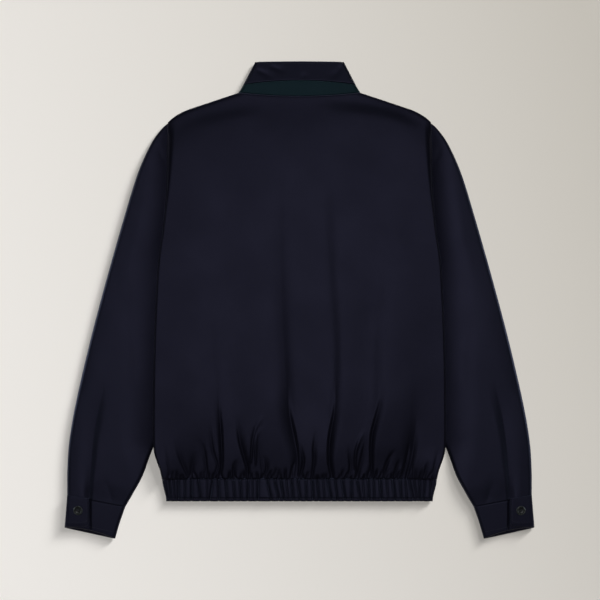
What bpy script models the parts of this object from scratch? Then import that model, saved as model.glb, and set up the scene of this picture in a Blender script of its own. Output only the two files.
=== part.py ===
"""Bomber jacket (blouson), laid flat with its back up, sleeves tucked under the body's sides.

Built the way it is sewn: a back and two fronts that meet at the side and shoulder folds, two
sleeves that are flattened tubes, buttoned cuffs with an overlapping tab, a shirred elastic
waistband, a stand and a collar closed round the neck, and a front zip on the underside.

Every length below is in millimetres. X runs across the shoulders, Y from the hem to the collar,
Z up from the surface that the jacket lies on. Mesh points are scaled to metres at the end.
"""
import math
from collections import namedtuple

import bmesh
import bpy
from mathutils import Matrix, Vector

MM = 0.001

# ---------------------------------------------------------------- driving dimensions (mm)
COLLAR_TOP_Y = 382.4          # top edge of the collar, from the middle of the jacket's length
NECK_BACK_Y = 326.4           # centre of the back neck seam
NECK_SIDE_X = 96.5            # half of the neck's width, where collar and shoulder meet
NECK_SIDE_Y = 332.0
NECK_FRONT_Y = 250.0          # centre of the front neck seam, on the underside
SHOULDER_TIP_X = 210.4        # half of the shoulder width
SHOULDER_TIP_Y = 284.0
UNDERARM_Y = 107.0            # where the side seam begins
WAIST_SEAM_Y = -287.3
HEM_Y = -322.6
HEM_HALF_WIDTH = 213.6
UNDERARM_TUCK_X = 98.0        # how near to the middle the tucked sleeve reaches
SLEEVE_LEAVES_X = 236.0       # where the sleeve's inner edge comes out from under the body
SLEEVE_LEAVES_Y = -240.0

CLOTH = 1.8                   # shell and its turned seams, pressed
CUFF_CLOTH = 2.2              # cuffs and collar are two layers
SEAM_GAP = 0.3
LAYER_GAP = 0.5               # between a sleeve and the front that lies on it
NECK_SEAM_GAP = 0.9           # down the front, where the neck curve is drawn with short chords
FOLD_REACH = 7.0              # how far in from a pressed fold the cloth is rounded
TUBE_REACH = 6.0
SLEEVE_PRESSED = 5.0          # height of a sleeve under the body
SLEEVE_HEIGHT = 7.2           # height of a sleeve that lies open
CUFF_HEIGHT = 7.4
COLLAR_HEIGHT = 8.0
LIFT_REACH = 60.0             # how far the body bridges down from a sleeve to the surface
LIFT_MARGIN = 16.0            # it is at full height this far before the sleeve's edge
SLANT = 0.9                   # a width across a tucked sleeve's edge, from a width along X
BODY_CLEARANCE = 2.6          # between front and back, where they lie on each other
LEAST_CLEARANCE = 0.7         # at the bottom of the deepest gathers
ZIP_CLEARANCE = 2.6           # kept over the zip
ZIP_HALF_BAND = 30.0          # half width of the strip that keeps it
SLIDER_CLEARANCE = 3.8
SLIDER_BAND = 40.0
SIDE_CALM_X = 185.0           # the blousing lies lower from here out to the side folds
CHEST_SLACK = 1.6             # slack of the back between the blousing and the shoulders

PLEATS = 40                   # shirring in the back of the waistband
PLEAT_HEIGHT = 2.2
RUFFLE_HEIGHT = 1.1           # small pinches just above the waistband
RUFFLE_REACH = 22.0

ZIP_OPENING = 4.0             # half of the gap between the front edges
ZIP_TAPE_WIDTH = 15.0
ZIP_TAPE_Z = 2.5
ZIP_TOP_Y = 298.0
PULL_PIN_Y = 301.5
PULL_PIN_Z = 1.7
PULL_LENGTH = 24.0

BUTTON_DIAMETER = 15.0
BUTTON_THICKNESS = 3.0

NAVY = (0.0100, 0.0100, 0.0210)
GREEN = (0.0070, 0.0150, 0.0190)
BUTTON_COLOUR = (0.030, 0.038, 0.036)
TAPE_COLOUR = (0.012, 0.012, 0.018)
METAL_COLOUR = (0.42, 0.42, 0.42)

Station = namedtuple("Station", "y half_width")
BODY_SIDE = [                 # the body's outline from waistband seam to shoulder tip
    Station(-287.3, 220.0), Station(-272.0, 223.5), Station(-258.0, 228.5),
    Station(-243.0, 232.8), Station(-224.0, 234.2), Station(-150.0, 234.2),
    Station(-80.0, 233.0), Station(-8.0, 230.4), Station(64.0, 225.8),
    Station(107.0, 219.6), Station(152.0, 215.2), Station(192.0, 213.4),
    Station(246.0, 212.2), Station(284.0, 210.4),
]
Point = namedtuple("Point", "x y")
SHOULDER_LINE = [             # from the neck out to the shoulder tip
    Point(97.0, 331.6), Point(108.0, 328.0), Point(136.8, 318.4), Point(165.6, 308.8),
    Point(180.0, 303.8), Point(189.6, 299.4), Point(197.6, 294.8), Point(205.0, 289.4),
    Point(210.4, 284.0),
]
FRONT_ARMHOLE = [             # from the underarm, over the tucked sleeve, to the shoulder tip
    Point(219.6, 100.0), Point(200.0, 106.0), Point(160.0, 108.0), Point(128.0, 114.0),
    Point(116.0, 126.0), Point(126.0, 150.0), Point(160.0, 206.0), Point(192.0, 258.0),
    Point(209.0, 282.0),
]
SLEEVE_OUTER = [              # from under the shoulder tip to the cuff seam
    Point(202.0, 285.4), Point(210.4, 283.4), Point(215.6, 279.6), Point(220.6, 274.6),
    Point(234.4, 256.4), Point(249.4, 226.6),
    Point(262.6, 193.0), Point(282.0, 129.0), Point(309.4, 32.5), Point(335.0, -64.0),
    Point(357.3, -160.0), Point(368.6, -224.0), Point(372.0, -272.0), Point(372.2, -313.0),
]
SLEEVE_INNER = [              # from the tucked underarm to the cuff seam
    Point(98.0, 107.0), Point(146.0, -16.0), Point(194.0, -136.0), Point(236.0, -240.0),
    Point(251.0, -281.0), Point(266.0, -309.0), Point(278.5, -330.5),
]
CUFF_OUTER = [Point(372.3, -313.0), Point(374.6, -340.0), Point(376.6, -364.5)]
CUFF_INNER = [Point(278.9, -330.5), Point(288.0, -357.0), Point(295.4, -382.4)]

Fold = namedtuple("Fold", "foot_x foot_y mid_x mid_y tip_x tip_y half_width depth")
GATHERS = [                   # troughs that run up the back from the waistband
    Fold(-205, -280, -208, -250, -214, -228, 8, 1.5),
    Fold(-186, -262, -196, -241, -206, -221, 9, 2.2),
    Fold(-172, -280, -172, -263, -172, -246, 8, 3.0),
    Fold(-151, -262, -156, -243, -161, -227, 8, 2.4),
    Fold(-124, -274, -125, -194, -134, -96, 12, 4.0),
    Fold(-86, -264, -94, -228, -102, -194, 10, 3.6),
    Fold(-60, -262, -64, -218, -58, -196, 8, 2.6),
    Fold(-44, -258, -46, -226, -54, -200, 8, 2.6),
    Fold(-14, -280, -8, -256, 2, -240, 7, 2.6),
    Fold(6, -262, -13, -205, -19, -64, 14, 5.0),
    Fold(22, -273, 26, -238, 29, -205, 9, 3.2),
    Fold(49, -281, 56, -190, 60, -64, 13, 5.4),
    Fold(90, -266, 106, -202, 117, -146, 11, 4.2),
    Fold(124, -273, 122, -196, 148, -92, 12, 4.6),
    Fold(133, -273, 146, -248, 158, -226, 9, 3.0),
    Fold(166, -268, 176, -228, 184, -190, 14, 4.8),
    Fold(202, -280, 206, -262, 210, -246, 8, 2.0),
]
BROAD_FOLDS = [               # soft bands that carry on up the back
    Fold(-134, -96, -141, 40, -141, 170, 26, 1.1),
    Fold(-19, -64, -26, 60, -25, 190, 22, 1.6),
    Fold(56, -64, 55, 60, 55, 200, 22, 1.8),
    Fold(140, -92, 137, 40, 137, 170, 26, 1.1),
]
BLOUSING = 5.4                # how far the cloth puffs out above the waistband
BLOUSING_RISE = 34.0          # it is full this far above the waistband's seam
BLOUSING_FULL = 70.0          # and sinks again from here
BLOUSING_FADE = 210.0
FOREARM_CREASES = [           # down to the cuff's overlap, on both sleeves
    Fold(316, -150, 331, -232, 336, -318, 9, 2.2),
]


# ---------------------------------------------------------------- small maths
def clamp(value, low=0.0, high=1.0):
    return max(low, min(high, value))


def ramp(value):
    """Smooth step from 0 to 1."""
    value = clamp(value)
    return value * value * (3.0 - 2.0 * value)


def lerp(a, b, factor):
    return a + (b - a) * factor


def spline(p0, p1, p2, p3, t):
    """Catmull-Rom between p1 and p2."""
    a = 2.0 * p1
    b = p2 - p0
    c = 2.0 * p0 - 5.0 * p1 + 4.0 * p2 - p3
    d = 3.0 * p1 - p0 - 3.0 * p2 + p3
    return 0.5 * (a + b * t + c * t * t + d * t ** 3)


def along(points, fraction):
    """Point at a fraction of a smooth curve's length."""
    knots = [Vector((p[0], p[1])) for p in points]
    lengths = [0.0]
    for a, b in zip(knots, knots[1:]):
        lengths.append(lengths[-1] + (b - a).length)
    target = clamp(fraction) * lengths[-1]
    k = 0
    while k < len(knots) - 2 and lengths[k + 1] < target:
        k += 1
    t = (target - lengths[k]) / (lengths[k + 1] - lengths[k])
    before = knots[k - 1] if k else 2.0 * knots[0] - knots[1]
    after = knots[k + 2] if k + 2 < len(knots) else 2.0 * knots[-1] - knots[-2]
    return spline(before, knots[k], knots[k + 1], after, t)


def value_at(pairs, key):
    """Smooth value of a rising table of (key, value)."""
    keys = [p[0] for p in pairs]
    values = [p[1] for p in pairs]
    key = clamp(key, keys[0], keys[-1])
    k = 0
    while k < len(keys) - 2 and keys[k + 1] < key:
        k += 1
    t = (key - keys[k]) / (keys[k + 1] - keys[k])
    slopes = []
    for n in (k, k + 1):
        low, high = max(n - 1, 0), min(n + 1, len(keys) - 1)
        slopes.append((values[high] - values[low]) / (keys[high] - keys[low]))
    step = keys[k + 1] - keys[k]
    return ((1 + 2 * t) * (1 - t) ** 2 * values[k] + t * (1 - t) ** 2 * step * slopes[0]
            + t * t * (3 - 2 * t) * values[k + 1] + t * t * (t - 1) * step * slopes[1])


def distance_to_fold(x, y, fold):
    """Distance from a fold's line, and the place along it from foot (0) to tip (1)."""
    span = fold.tip_y - fold.foot_y
    t = (y - fold.foot_y) / span
    inside = clamp(t)
    x_line = ((1 - inside) ** 2 * fold.foot_x + inside ** 2 * fold.tip_x
              + 2 * inside * (1 - inside) * (2 * fold.mid_x - 0.5 * (fold.foot_x + fold.tip_x)))
    beyond = (t - inside) * span
    return math.hypot(x - x_line, beyond), inside


def trough(x, y, fold):
    """Depth of one fold, deepest a little above its foot and fading towards its tip."""
    distance, t = distance_to_fold(x, y, fold)
    width = fold.half_width * (0.75 + 0.6 * t)
    fade = (1.0 - ramp((t - 0.25) / 0.75)) * 0.85 + 0.15
    return fold.depth * fade * math.exp(-(distance / width) ** 2)


def crease_depth(x, y, fold):
    """Depth of a crease that deepens from its foot to its tip."""
    distance, t = distance_to_fold(x, y, fold)
    return fold.depth * ramp(0.15 + t) * math.exp(-(distance / fold.half_width) ** 2)


# ---------------------------------------------------------------- how the layers lie
def body_half_width(y):
    return value_at(BODY_SIDE, y)


def sleeve_reach_x(y):
    """Half distance between the two tucked sleeves at a height on the body."""
    if y > UNDERARM_Y:
        rise = (y - UNDERARM_Y) / (SHOULDER_TIP_Y - UNDERARM_Y)
        return lerp(UNDERARM_TUCK_X, SHOULDER_TIP_X - 6.0, rise)
    drop = (UNDERARM_Y - y) / (UNDERARM_Y - SLEEVE_LEAVES_Y)
    return lerp(UNDERARM_TUCK_X, SLEEVE_LEAVES_X, drop)


def front_underside(x, y):
    """The surface in the middle, the top of a tucked sleeve at the sides."""
    inside = (abs(x) - sleeve_reach_x(y)) * SLANT + LIFT_MARGIN
    return (SLEEVE_PRESSED + LAYER_GAP) * ramp((inside + LIFT_REACH) / LIFT_REACH)


def clearance(x, y):
    """Between front and back: the blousing above the waistband less the gathers' troughs."""
    above = y - WAIST_SEAM_Y
    side = 1.0 - 0.55 * ramp((abs(x) - SIDE_CALM_X) / 45.0)
    fall = 1.0 - ramp((above - BLOUSING_FULL) / BLOUSING_FADE)
    puff = BLOUSING * ramp(above / BLOUSING_RISE) * fall * side
    deep = sum(trough(x, y, fold) for fold in GATHERS)
    soft = sum(trough(x, y, fold) for fold in BROAD_FOLDS)
    chest = CHEST_SLACK * ramp((above - 150.0) / 200.0) * (1.0 - ramp((y - 250.0) / 60.0)) * side
    pleat = math.cos(math.pi * PLEATS * x / body_half_width(y))
    ruffle = RUFFLE_HEIGHT * pleat * (1.0 - ramp(above / RUFFLE_REACH)) * side
    gap = BODY_CLEARANCE + puff + chest + ruffle - deep - soft
    at_zip = ramp((ZIP_HALF_BAND - abs(x)) / 14.0)
    at_slider = ramp((SLIDER_BAND - math.hypot(x, y - PULL_PIN_Y)) / 24.0)
    return max(gap, lerp(LEAST_CLEARANCE, ZIP_CLEARANCE, at_zip), SLIDER_CLEARANCE * at_slider)


def back_top(x, y):
    return front_underside(x, y) + 2.0 * CLOTH + clearance(x, y)


def fold_middle(x, y):
    """Half height of the pressed fold where front and back meet."""
    return front_underside(x, y) + CLOTH + 0.5 * clearance(x, y)


def back_neck_y(x):
    return lerp(NECK_BACK_Y, NECK_SIDE_Y, (abs(x) / NECK_SIDE_X) ** 2)


def front_neck_y(x):
    return lerp(NECK_FRONT_Y, NECK_SIDE_Y, clamp(abs(x) / NECK_SIDE_X) ** 2.3)


def shoulder_y(x):
    return value_at(SHOULDER_LINE, abs(x))


def sleeve_top(x, y):
    """A sleeve is pressed under the body and lies open beside it."""
    if y > SHOULDER_TIP_Y - 2.0:
        return SLEEVE_PRESSED
    outside = abs(x) - body_half_width(max(y, WAIST_SEAM_Y)) - 3.0
    crease = sum(crease_depth(abs(x), y, fold) for fold in FOREARM_CREASES)
    return lerp(SLEEVE_PRESSED, SLEEVE_HEIGHT - crease, ramp(outside / 26.0))


# ---------------------------------------------------------------- meshes
def material(name, colour, roughness, metallic=0.0):
    made = bpy.data.materials.new(name)
    made.use_nodes = True
    shader = made.node_tree.nodes["Principled BSDF"]
    shader.inputs["Base Color"].default_value = (*colour, 1.0)
    shader.inputs["Roughness"].default_value = roughness
    shader.inputs["Metallic"].default_value = metallic
    made.diffuse_color = (*colour, 1.0)
    return made


def finish(name, mesh_data, look, smooth_angle=40.0):
    """An object from a closed bmesh in millimetres."""
    mesh = bpy.data.meshes.new(name)
    mesh_data.to_mesh(mesh)
    mesh_data.free()
    mesh.transform(Matrix.Scale(MM, 4))
    mesh.shade_smooth()
    mesh.set_sharp_from_angle(angle=math.radians(smooth_angle))
    mesh.materials.append(look)
    piece = bpy.data.objects.new(name, mesh)
    bpy.context.scene.collection.objects.link(piece)
    return piece


def bridge(bm, low, high, low_keys, high_keys, flip):
    """Faces between two rows of points, which may have different numbers of points."""
    if len(low) == len(high):
        for k in range(len(low) - 1):
            face = [low[k], low[k + 1], high[k + 1], high[k]]
            bm.faces.new(face[::-1] if flip else face)
        return
    a = b = 0
    while a < len(low) - 1 or b < len(high) - 1:
        next_low = low_keys[a + 1] if a < len(low) - 1 else math.inf
        next_high = high_keys[b + 1] if b < len(high) - 1 else math.inf
        if next_low <= next_high:
            face = [low[a], low[a + 1], high[b]]
            a += 1
        else:
            face = [low[a], high[b + 1], high[b]]
            b += 1
        bm.faces.new(face[::-1] if flip else face)


def wall(name, rows, look):
    """A cloth wall: each row is (keys, outer points, inner points), closed at its four edges."""
    bm = bmesh.new()
    outer = [[bm.verts.new(p) for p in row[1]] for row in rows]
    inner = [[bm.verts.new(p) for p in row[2]] for row in rows]
    for r in range(len(rows) - 1):
        bridge(bm, outer[r], outer[r + 1], rows[r][0], rows[r + 1][0], False)
        bridge(bm, inner[r], inner[r + 1], rows[r][0], rows[r + 1][0], True)
        for k in (0, -1):
            rim = [outer[r][k], outer[r + 1][k], inner[r + 1][k], inner[r][k]]
            bm.faces.new(rim if k == 0 else rim[::-1])
    for r in (0, -1):
        for k in range(len(outer[r]) - 1):
            rim = [outer[r][k], inner[r][k], inner[r][k + 1], outer[r][k + 1]]
            bm.faces.new(rim if r == 0 else rim[::-1])
    bmesh.ops.recalc_face_normals(bm, faces=bm.faces)
    return finish(name, bm, look)


def tube(name, rings, look):
    """A cloth tube, open at both ends: each ring is (outer points, inner points)."""
    bm = bmesh.new()
    outer = [[bm.verts.new(p) for p in ring[0]] for ring in rings]
    inner = [[bm.verts.new(p) for p in ring[1]] for ring in rings]
    count = len(outer[0])
    for k in range(count):
        n = (k + 1) % count
        for r in range(len(rings) - 1):
            bm.faces.new((outer[r][k], outer[r][n], outer[r + 1][n], outer[r + 1][k]))
            bm.faces.new((inner[r][n], inner[r][k], inner[r + 1][k], inner[r + 1][n]))
        bm.faces.new((outer[0][n], outer[0][k], inner[0][k], inner[0][n]))
        bm.faces.new((outer[-1][k], outer[-1][n], inner[-1][n], inner[-1][k]))
    bmesh.ops.recalc_face_normals(bm, faces=bm.faces)
    return finish(name, bm, look)


def roundness(distance, reach):
    """Height factor of a rounded fold: 0 at its edge, 1 where the cloth is flat."""
    return math.sqrt(clamp(1.0 - (1.0 - clamp(distance / reach)) ** 2))


def fold_offsets(reach):
    """Distances from a fold's edge that draw its rounding with three flats."""
    return [0.0, 0.13 * reach, 0.5 * reach, reach]


# ---------------------------------------------------------------- body
def patch_point(bottom, top, left, right, u, v):
    """Coons patch of four boundary curves."""
    edge = lerp(bottom(u), top(u), v) + lerp(left(v), right(v), u)
    corner = lerp(lerp(bottom(0), bottom(1), u), lerp(top(0), top(1), u), v)
    return edge - corner


def back_top_edge(u):
    """Left shoulder tip, neck, right shoulder tip: u is the share of the shoulder width."""
    x = lerp(-SHOULDER_TIP_X, SHOULDER_TIP_X, u)
    if abs(x) < NECK_SIDE_X:
        return Vector((x, back_neck_y(x) - 0.5 * SEAM_GAP))
    return Vector((x, shoulder_y(x)))


BACK_ROWS_FINE = [-287.0, -283.0, -276.0, -266.0, -252.0, -235.0, -214.0]
BACK_ROWS = [-188.0, -158.0, -124.0, -86.0, -44.0, 2.0, 50.0, 95.0, 130.0, 165.0, 200.0, 232.0,
             256.0]


def across(columns, half_width):
    """Shares of a width, close together at both folds."""
    near = [d / (2.0 * half_width) for d in fold_offsets(FOLD_REACH)]
    first, last = near[-1], 1.0 - near[-1]
    middle = [lerp(first, last, k / columns) for k in range(1, columns)]
    return near + middle + [1.0 - share for share in reversed(near)]


def make_back(look):
    side_heights = BACK_ROWS_FINE + BACK_ROWS
    top_offsets = list(reversed(fold_offsets(FOLD_REACH)))
    heights = side_heights + [SHOULDER_TIP_Y - offset for offset in top_offsets]
    rows = []
    for number, height in enumerate(heights):
        columns = 2 * PLEATS if number < len(BACK_ROWS_FINE) else PLEATS
        v = (height - heights[0]) / (SHOULDER_TIP_Y - heights[0])
        shares = across(columns, body_half_width(height))
        keys, outer, inner = [], [], []
        for u in shares:
            place = patch_point(
                lambda s: Vector((lerp(-1, 1, s) * body_half_width(heights[0]), heights[0])),
                back_top_edge,
                lambda s: Vector((-body_half_width(lerp(heights[0], SHOULDER_TIP_Y, s)),
                                  lerp(heights[0], SHOULDER_TIP_Y, s))),
                lambda s: Vector((body_half_width(lerp(heights[0], SHOULDER_TIP_Y, s)),
                                  lerp(heights[0], SHOULDER_TIP_Y, s))), u, v)
            x, y = place
            from_side = min(u, 1.0 - u) * 2.0 * body_half_width(height)
            side_round = roundness(from_side, FOLD_REACH)
            neck = ramp((NECK_SIDE_X + 2.0 - abs(x)) / 10.0)
            top_round = lerp(roundness(SHOULDER_TIP_Y - height, FOLD_REACH), 1.0, neck)
            factor = min(side_round, top_round)
            armhole = ramp((height - 98.0) / 24.0) * ramp((SHOULDER_TIP_Y - 8.0 - height) / 16.0)
            edge_z = lerp(fold_middle(x, y) + 0.5 * SEAM_GAP, front_underside(x, y), armhole)
            top = back_top(x, y)
            inward = Vector((-math.copysign(1.0 - side_round, x), -(1.0 - top_round)))
            if inward.length > 1.0:
                inward.normalize()
            keys.append(u)
            outer.append(Vector((x, y, lerp(edge_z, top, factor))))
            inner.append(Vector((x + CLOTH * inward.x, y + CLOTH * inward.y,
                                 lerp(edge_z, top - CLOTH, factor))))
        rows.append((keys, outer, inner))
    return wall("back", rows, look)


FRONT_HEIGHTS = [0.0, 0.03, 0.09, 0.17, 0.27, 0.37, 0.47, 0.57, 0.64, 0.68, 0.72, 0.76, 0.81,
                 0.87, 0.93, 0.975]
FRONT_COLUMNS = 11
SIDE_SHARE = 0.64             # of the front's height: side fold below, armhole above
NECK_SHARE = 0.48             # of the front's top edge: neck curve, then shoulder


def front_side(v):
    """The side fold up to the underarm, then the armhole up to the shoulder tip."""
    if v <= SIDE_SHARE:
        y = lerp(WAIST_SEAM_Y + SEAM_GAP, FRONT_ARMHOLE[0].y, v / SIDE_SHARE)
        return Vector((body_half_width(y), y))
    return along(FRONT_ARMHOLE, (v - SIDE_SHARE) / (1.0 - SIDE_SHARE))


def front_top_edge(u):
    """Centre front, up the neck curve, out along the shoulder."""
    if u <= NECK_SHARE:
        x = lerp(ZIP_OPENING, NECK_SIDE_X, math.sin(0.5 * math.pi * u / NECK_SHARE))
        return Vector((x, front_neck_y(x) - NECK_SEAM_GAP))
    share = (u - NECK_SHARE) / (1.0 - NECK_SHARE)
    x = lerp(SHOULDER_LINE[0].x, FRONT_ARMHOLE[-1].x, share)
    return Vector((x, shoulder_y(x)))


def make_front(name, side, look):
    hem_y = WAIST_SEAM_Y + SEAM_GAP
    top_offsets = list(reversed(fold_offsets(FOLD_REACH)))[1:]
    length = SHOULDER_TIP_Y - hem_y
    heights = FRONT_HEIGHTS + [1.0 - offset / length for offset in top_offsets]
    rows = []
    for v in heights:
        edge = front_side(v)
        width = edge.x - ZIP_OPENING
        near = [1.0 - d / width for d in reversed(fold_offsets(FOLD_REACH))]
        shares = [lerp(0.0, near[0], k / FRONT_COLUMNS) for k in range(FRONT_COLUMNS)] + near
        keys, outer, inner = [], [], []
        for u in shares:
            x, y = patch_point(
                lambda s: Vector((lerp(ZIP_OPENING, body_half_width(hem_y), s), hem_y)),
                front_top_edge,
                lambda s: Vector((ZIP_OPENING, lerp(hem_y, front_top_edge(0.0).y, s))),
                front_side, u, v)
            open_edge = ramp((v - SIDE_SHARE + 0.04) / 0.04)
            side_round = lerp(roundness((1.0 - u) * width, FOLD_REACH), 1.0, open_edge)
            neck = ramp((NECK_SIDE_X + 2.0 - x) / 10.0)
            top_round = lerp(roundness((1.0 - v) * length, FOLD_REACH), 1.0, neck)
            factor = min(side_round, top_round)
            low = front_underside(x, y)
            edge_z = fold_middle(x, y) - 0.5 * SEAM_GAP
            inward = Vector((-(1.0 - side_round), -(1.0 - top_round)))
            if inward.length > 1.0:
                inward.normalize()
            keys.append(u)
            outer.append(Vector((side * x, y, lerp(edge_z, low, factor))))
            inner.append(Vector((side * (x + CLOTH * inward.x), y + CLOTH * inward.y,
                                 lerp(edge_z, low + CLOTH, factor))))
        rows.append((keys, outer, inner))
    return wall(name, rows, look)


# ---------------------------------------------------------------- sleeves and cuffs
SLEEVE_STATIONS = 18
OPEN_SHARES = (0.15, 0.24, 0.31, 0.38, 0.6, 0.8, 1.0)      # outer fold to the body's edge
TUCKED_SHARES = (0.4, 0.75)                                # body's edge to the inner fold


def body_edge_offset(start, end):
    """Where a section that starts outside the body passes under the body's edge."""
    length = (end - start).length
    low, high = TUBE_REACH + 2.0, length - TUBE_REACH - 2.0
    for _ in range(24):
        middle = 0.5 * (low + high)
        place = start.lerp(end, middle / length)
        if place.x > body_half_width(max(place.y, WAIST_SEAM_Y)) + 1.0:
            low = middle
        else:
            high = middle
    return high


def flat_ring(start, end, height_at, cloth, side, upper_shift=0.0):
    """Section of a flattened tube from its outer fold (start) to its inner fold (end)."""
    length = (end - start).length
    direction = (end - start) / length
    across_fold = Vector((-direction.y, direction.x))
    near = fold_offsets(TUBE_REACH)
    edge = body_edge_offset(start, end)
    upper = near + [lerp(TUBE_REACH, edge, share) for share in OPEN_SHARES]
    upper += [lerp(edge, length - TUBE_REACH, share) for share in TUCKED_SHARES]
    upper += [length - d for d in reversed(near)]
    lower = [length - d for d in near[1:]] + [0.5 * length] + [d for d in reversed(near[1:])]
    outer, inner = [], []
    for offsets, sign in ((upper, 1.0), (lower, -1.0)):
        for offset in offsets:
            place = start + direction * offset
            rounded = roundness(min(offset, length - offset), TUBE_REACH)
            height = height_at(place.x, place.y)
            middle = 0.5 * height
            shrink = cloth * (1.0 - rounded) * (1.0 if offset < 0.5 * length else -1.0)
            inside = place + direction * shrink
            shift = across_fold * upper_shift * rounded if sign > 0 else Vector((0.0, 0.0))
            outer.append(Vector((side * (place.x + shift.x), place.y + shift.y,
                                 middle + sign * middle * rounded)))
            inner.append(Vector((side * (inside.x + shift.x), inside.y + shift.y,
                                 middle + sign * (middle - cloth) * rounded)))
    return outer, inner


def cuff_top(x, y):
    return CUFF_HEIGHT


MOUTH_SHIFT = 3.0             # the cuff's upper layer ends this much above the lower one


def make_sleeve(name, side, look):
    rings = []
    head = [0.0, 0.015, 0.03, 0.05, 0.075, 0.11]
    rest = [lerp(head[-1], 1.0, k / SLEEVE_STATIONS) for k in range(1, SLEEVE_STATIONS + 1)]
    for share in head + rest:
        start = along(SLEEVE_OUTER, share)
        end = along(SLEEVE_INNER, share)
        rings.append(flat_ring(start, end, sleeve_top, CLOTH, side))
    return tube(name, rings, look)


def make_cuff(name, side, look):
    rings = []
    shares = (0.0, 0.35, 0.7, 1.0)
    for share in shares:
        start = along(CUFF_OUTER, share) - Vector((0.0, SEAM_GAP * (1.0 - share)))
        end = along(CUFF_INNER, share) - Vector((0.0, SEAM_GAP * (1.0 - share)))
        shift = -MOUTH_SHIFT if share == 1.0 else 0.0
        rings.append(flat_ring(start, end, cuff_top, CUFF_CLOTH, side, shift))
    return tube(name, rings, look)


TAB_OUTLINE = [               # the overlapping end of the cuff, outer edge first
    Point(371.0, -314.5), Point(373.4, -361.8), Point(346.0, -362.6), Point(335.6, -359.6),
    Point(335.2, -322.5), Point(346.0, -319.5),
]
TAB_Z = CUFF_HEIGHT + 0.35
TAB_THICKNESS = 1.6


def make_tab(name, side, look):
    bm = bmesh.new()
    low = [bm.verts.new((side * p.x, p.y, TAB_Z)) for p in TAB_OUTLINE]
    face = bm.faces.new(low)
    lifted = bmesh.ops.extrude_face_region(bm, geom=[face])["geom"]
    top = [v for v in lifted if isinstance(v, bmesh.types.BMVert)]
    bmesh.ops.translate(bm, verts=top, vec=(0.0, 0.0, TAB_THICKNESS))
    rim = [e for e in bm.edges if all(v in top for v in e.verts)]
    bmesh.ops.bevel(bm, geom=rim, offset=0.5, segments=2, profile=0.5, affect='EDGES', material=-1)
    bmesh.ops.recalc_face_normals(bm, faces=bm.faces)
    return finish(name, bm, look)


BUTTON_X = 354.0
BUTTON_Y = -336.6
BUTTON_Z = TAB_Z + TAB_THICKNESS + SEAM_GAP
BUTTON_PROFILE = [            # share of the radius, share of the thickness
    Point(0.0, 0.0), Point(0.86, 0.0), Point(1.0, 0.28), Point(1.0, 0.72), Point(0.9, 1.0),
    Point(0.74, 1.0), Point(0.62, 0.62), Point(0.0, 0.56),
]
HOLE_RADIUS = 1.0
HOLE_FROM_CENTRE = 2.0


def make_button(name, side, look):
    bm = bmesh.new()
    radius = 0.5 * BUTTON_DIAMETER
    points = [bm.verts.new((p.x * radius, 0.0, p.y * BUTTON_THICKNESS)) for p in BUTTON_PROFILE]
    edges = [bm.edges.new(pair) for pair in zip(points, points[1:])]
    bmesh.ops.spin(bm, geom=points + edges, cent=(0, 0, 0), axis=(0, 0, 1),
                   angle=2.0 * math.pi, steps=20, use_merge=True)
    bmesh.ops.remove_doubles(bm, verts=bm.verts, dist=0.01)
    bmesh.ops.recalc_face_normals(bm, faces=bm.faces)
    button = finish(name, bm, look)
    place = Vector((side * BUTTON_X, BUTTON_Y, BUTTON_Z)) * MM
    for quarter in range(4):
        angle = math.radians(45.0 + 90.0 * quarter)
        hole = bmesh.new()
        bmesh.ops.create_cone(hole, cap_ends=True, segments=8, radius1=HOLE_RADIUS,
                              radius2=HOLE_RADIUS, depth=3.0 * BUTTON_THICKNESS)
        centre = (HOLE_FROM_CENTRE * math.cos(angle), HOLE_FROM_CENTRE * math.sin(angle), 0.0)
        bmesh.ops.translate(hole, verts=hole.verts, vec=centre)
        cutter = finish(f"{name}_hole_{quarter}", hole, look)
        cutter.hide_render = True
        cutter.display_type = 'WIRE'
        cutter.location = place
        cut = button.modifiers.new(f"hole {quarter}", 'BOOLEAN')
        cut.operation = 'DIFFERENCE'
        cut.solver = 'EXACT'
        cut.object = cutter
    button.location = place
    return button


# ---------------------------------------------------------------- waistband and collar
def make_waistband(look):
    """One strip round the hem, from one front edge round both folds to the other."""
    height = 2.0 * CLOTH + BODY_CLEARANCE
    middle = 0.5 * height
    rows = []
    for share in (0.0, 0.12, 0.5, 0.88, 1.0):
        y = lerp(WAIST_SEAM_Y - SEAM_GAP, HEM_Y, share)
        width = lerp(body_half_width(WAIST_SEAM_Y), HEM_HALF_WIDTH, ramp(share))
        back = [width - d for d in fold_offsets(FOLD_REACH)]
        inner_width = back[-1]
        waves = 3 * PLEATS
        back += [lerp(inner_width, -inner_width, k / waves) for k in range(1, waves)]
        back += [-width + d for d in reversed(fold_offsets(FOLD_REACH))]
        front = [lerp(ZIP_OPENING, width - FOLD_REACH, k / 3) for k in range(3)]
        front += [width - d for d in reversed(fold_offsets(FOLD_REACH)[1:])]
        path = [(x, -1.0) for x in front] + [(x, 1.0) for x in back]
        path += [(-x, -1.0) for x in reversed(front)]
        outer, inner = [], []
        for x, sign in path:
            rounded = roundness(width - abs(x), FOLD_REACH)
            wave = 0.0
            if sign > 0.0:
                phase = 0.5 * PLEATS * x / inner_width + 0.25 * math.sin(1.7 * x / 23.0)
                pleat = 0.5 + 0.5 * math.cos(2.0 * math.pi * phase)
                swell = math.sin(math.pi * clamp(0.12 + 0.8 * share)) ** 0.5
                wave = PLEAT_HEIGHT * pleat * swell * rounded
            place = Vector((x, y, middle + sign * middle * rounded + wave))
            inside = x - math.copysign(CLOTH * (1.0 - rounded), x)
            outer.append(place)
            inner.append(Vector((inside, y, middle + sign * (middle - CLOTH) * rounded)))
        rows.append((list(range(len(path))), outer, inner))
    return wall("waistband", rows, look)


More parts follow.
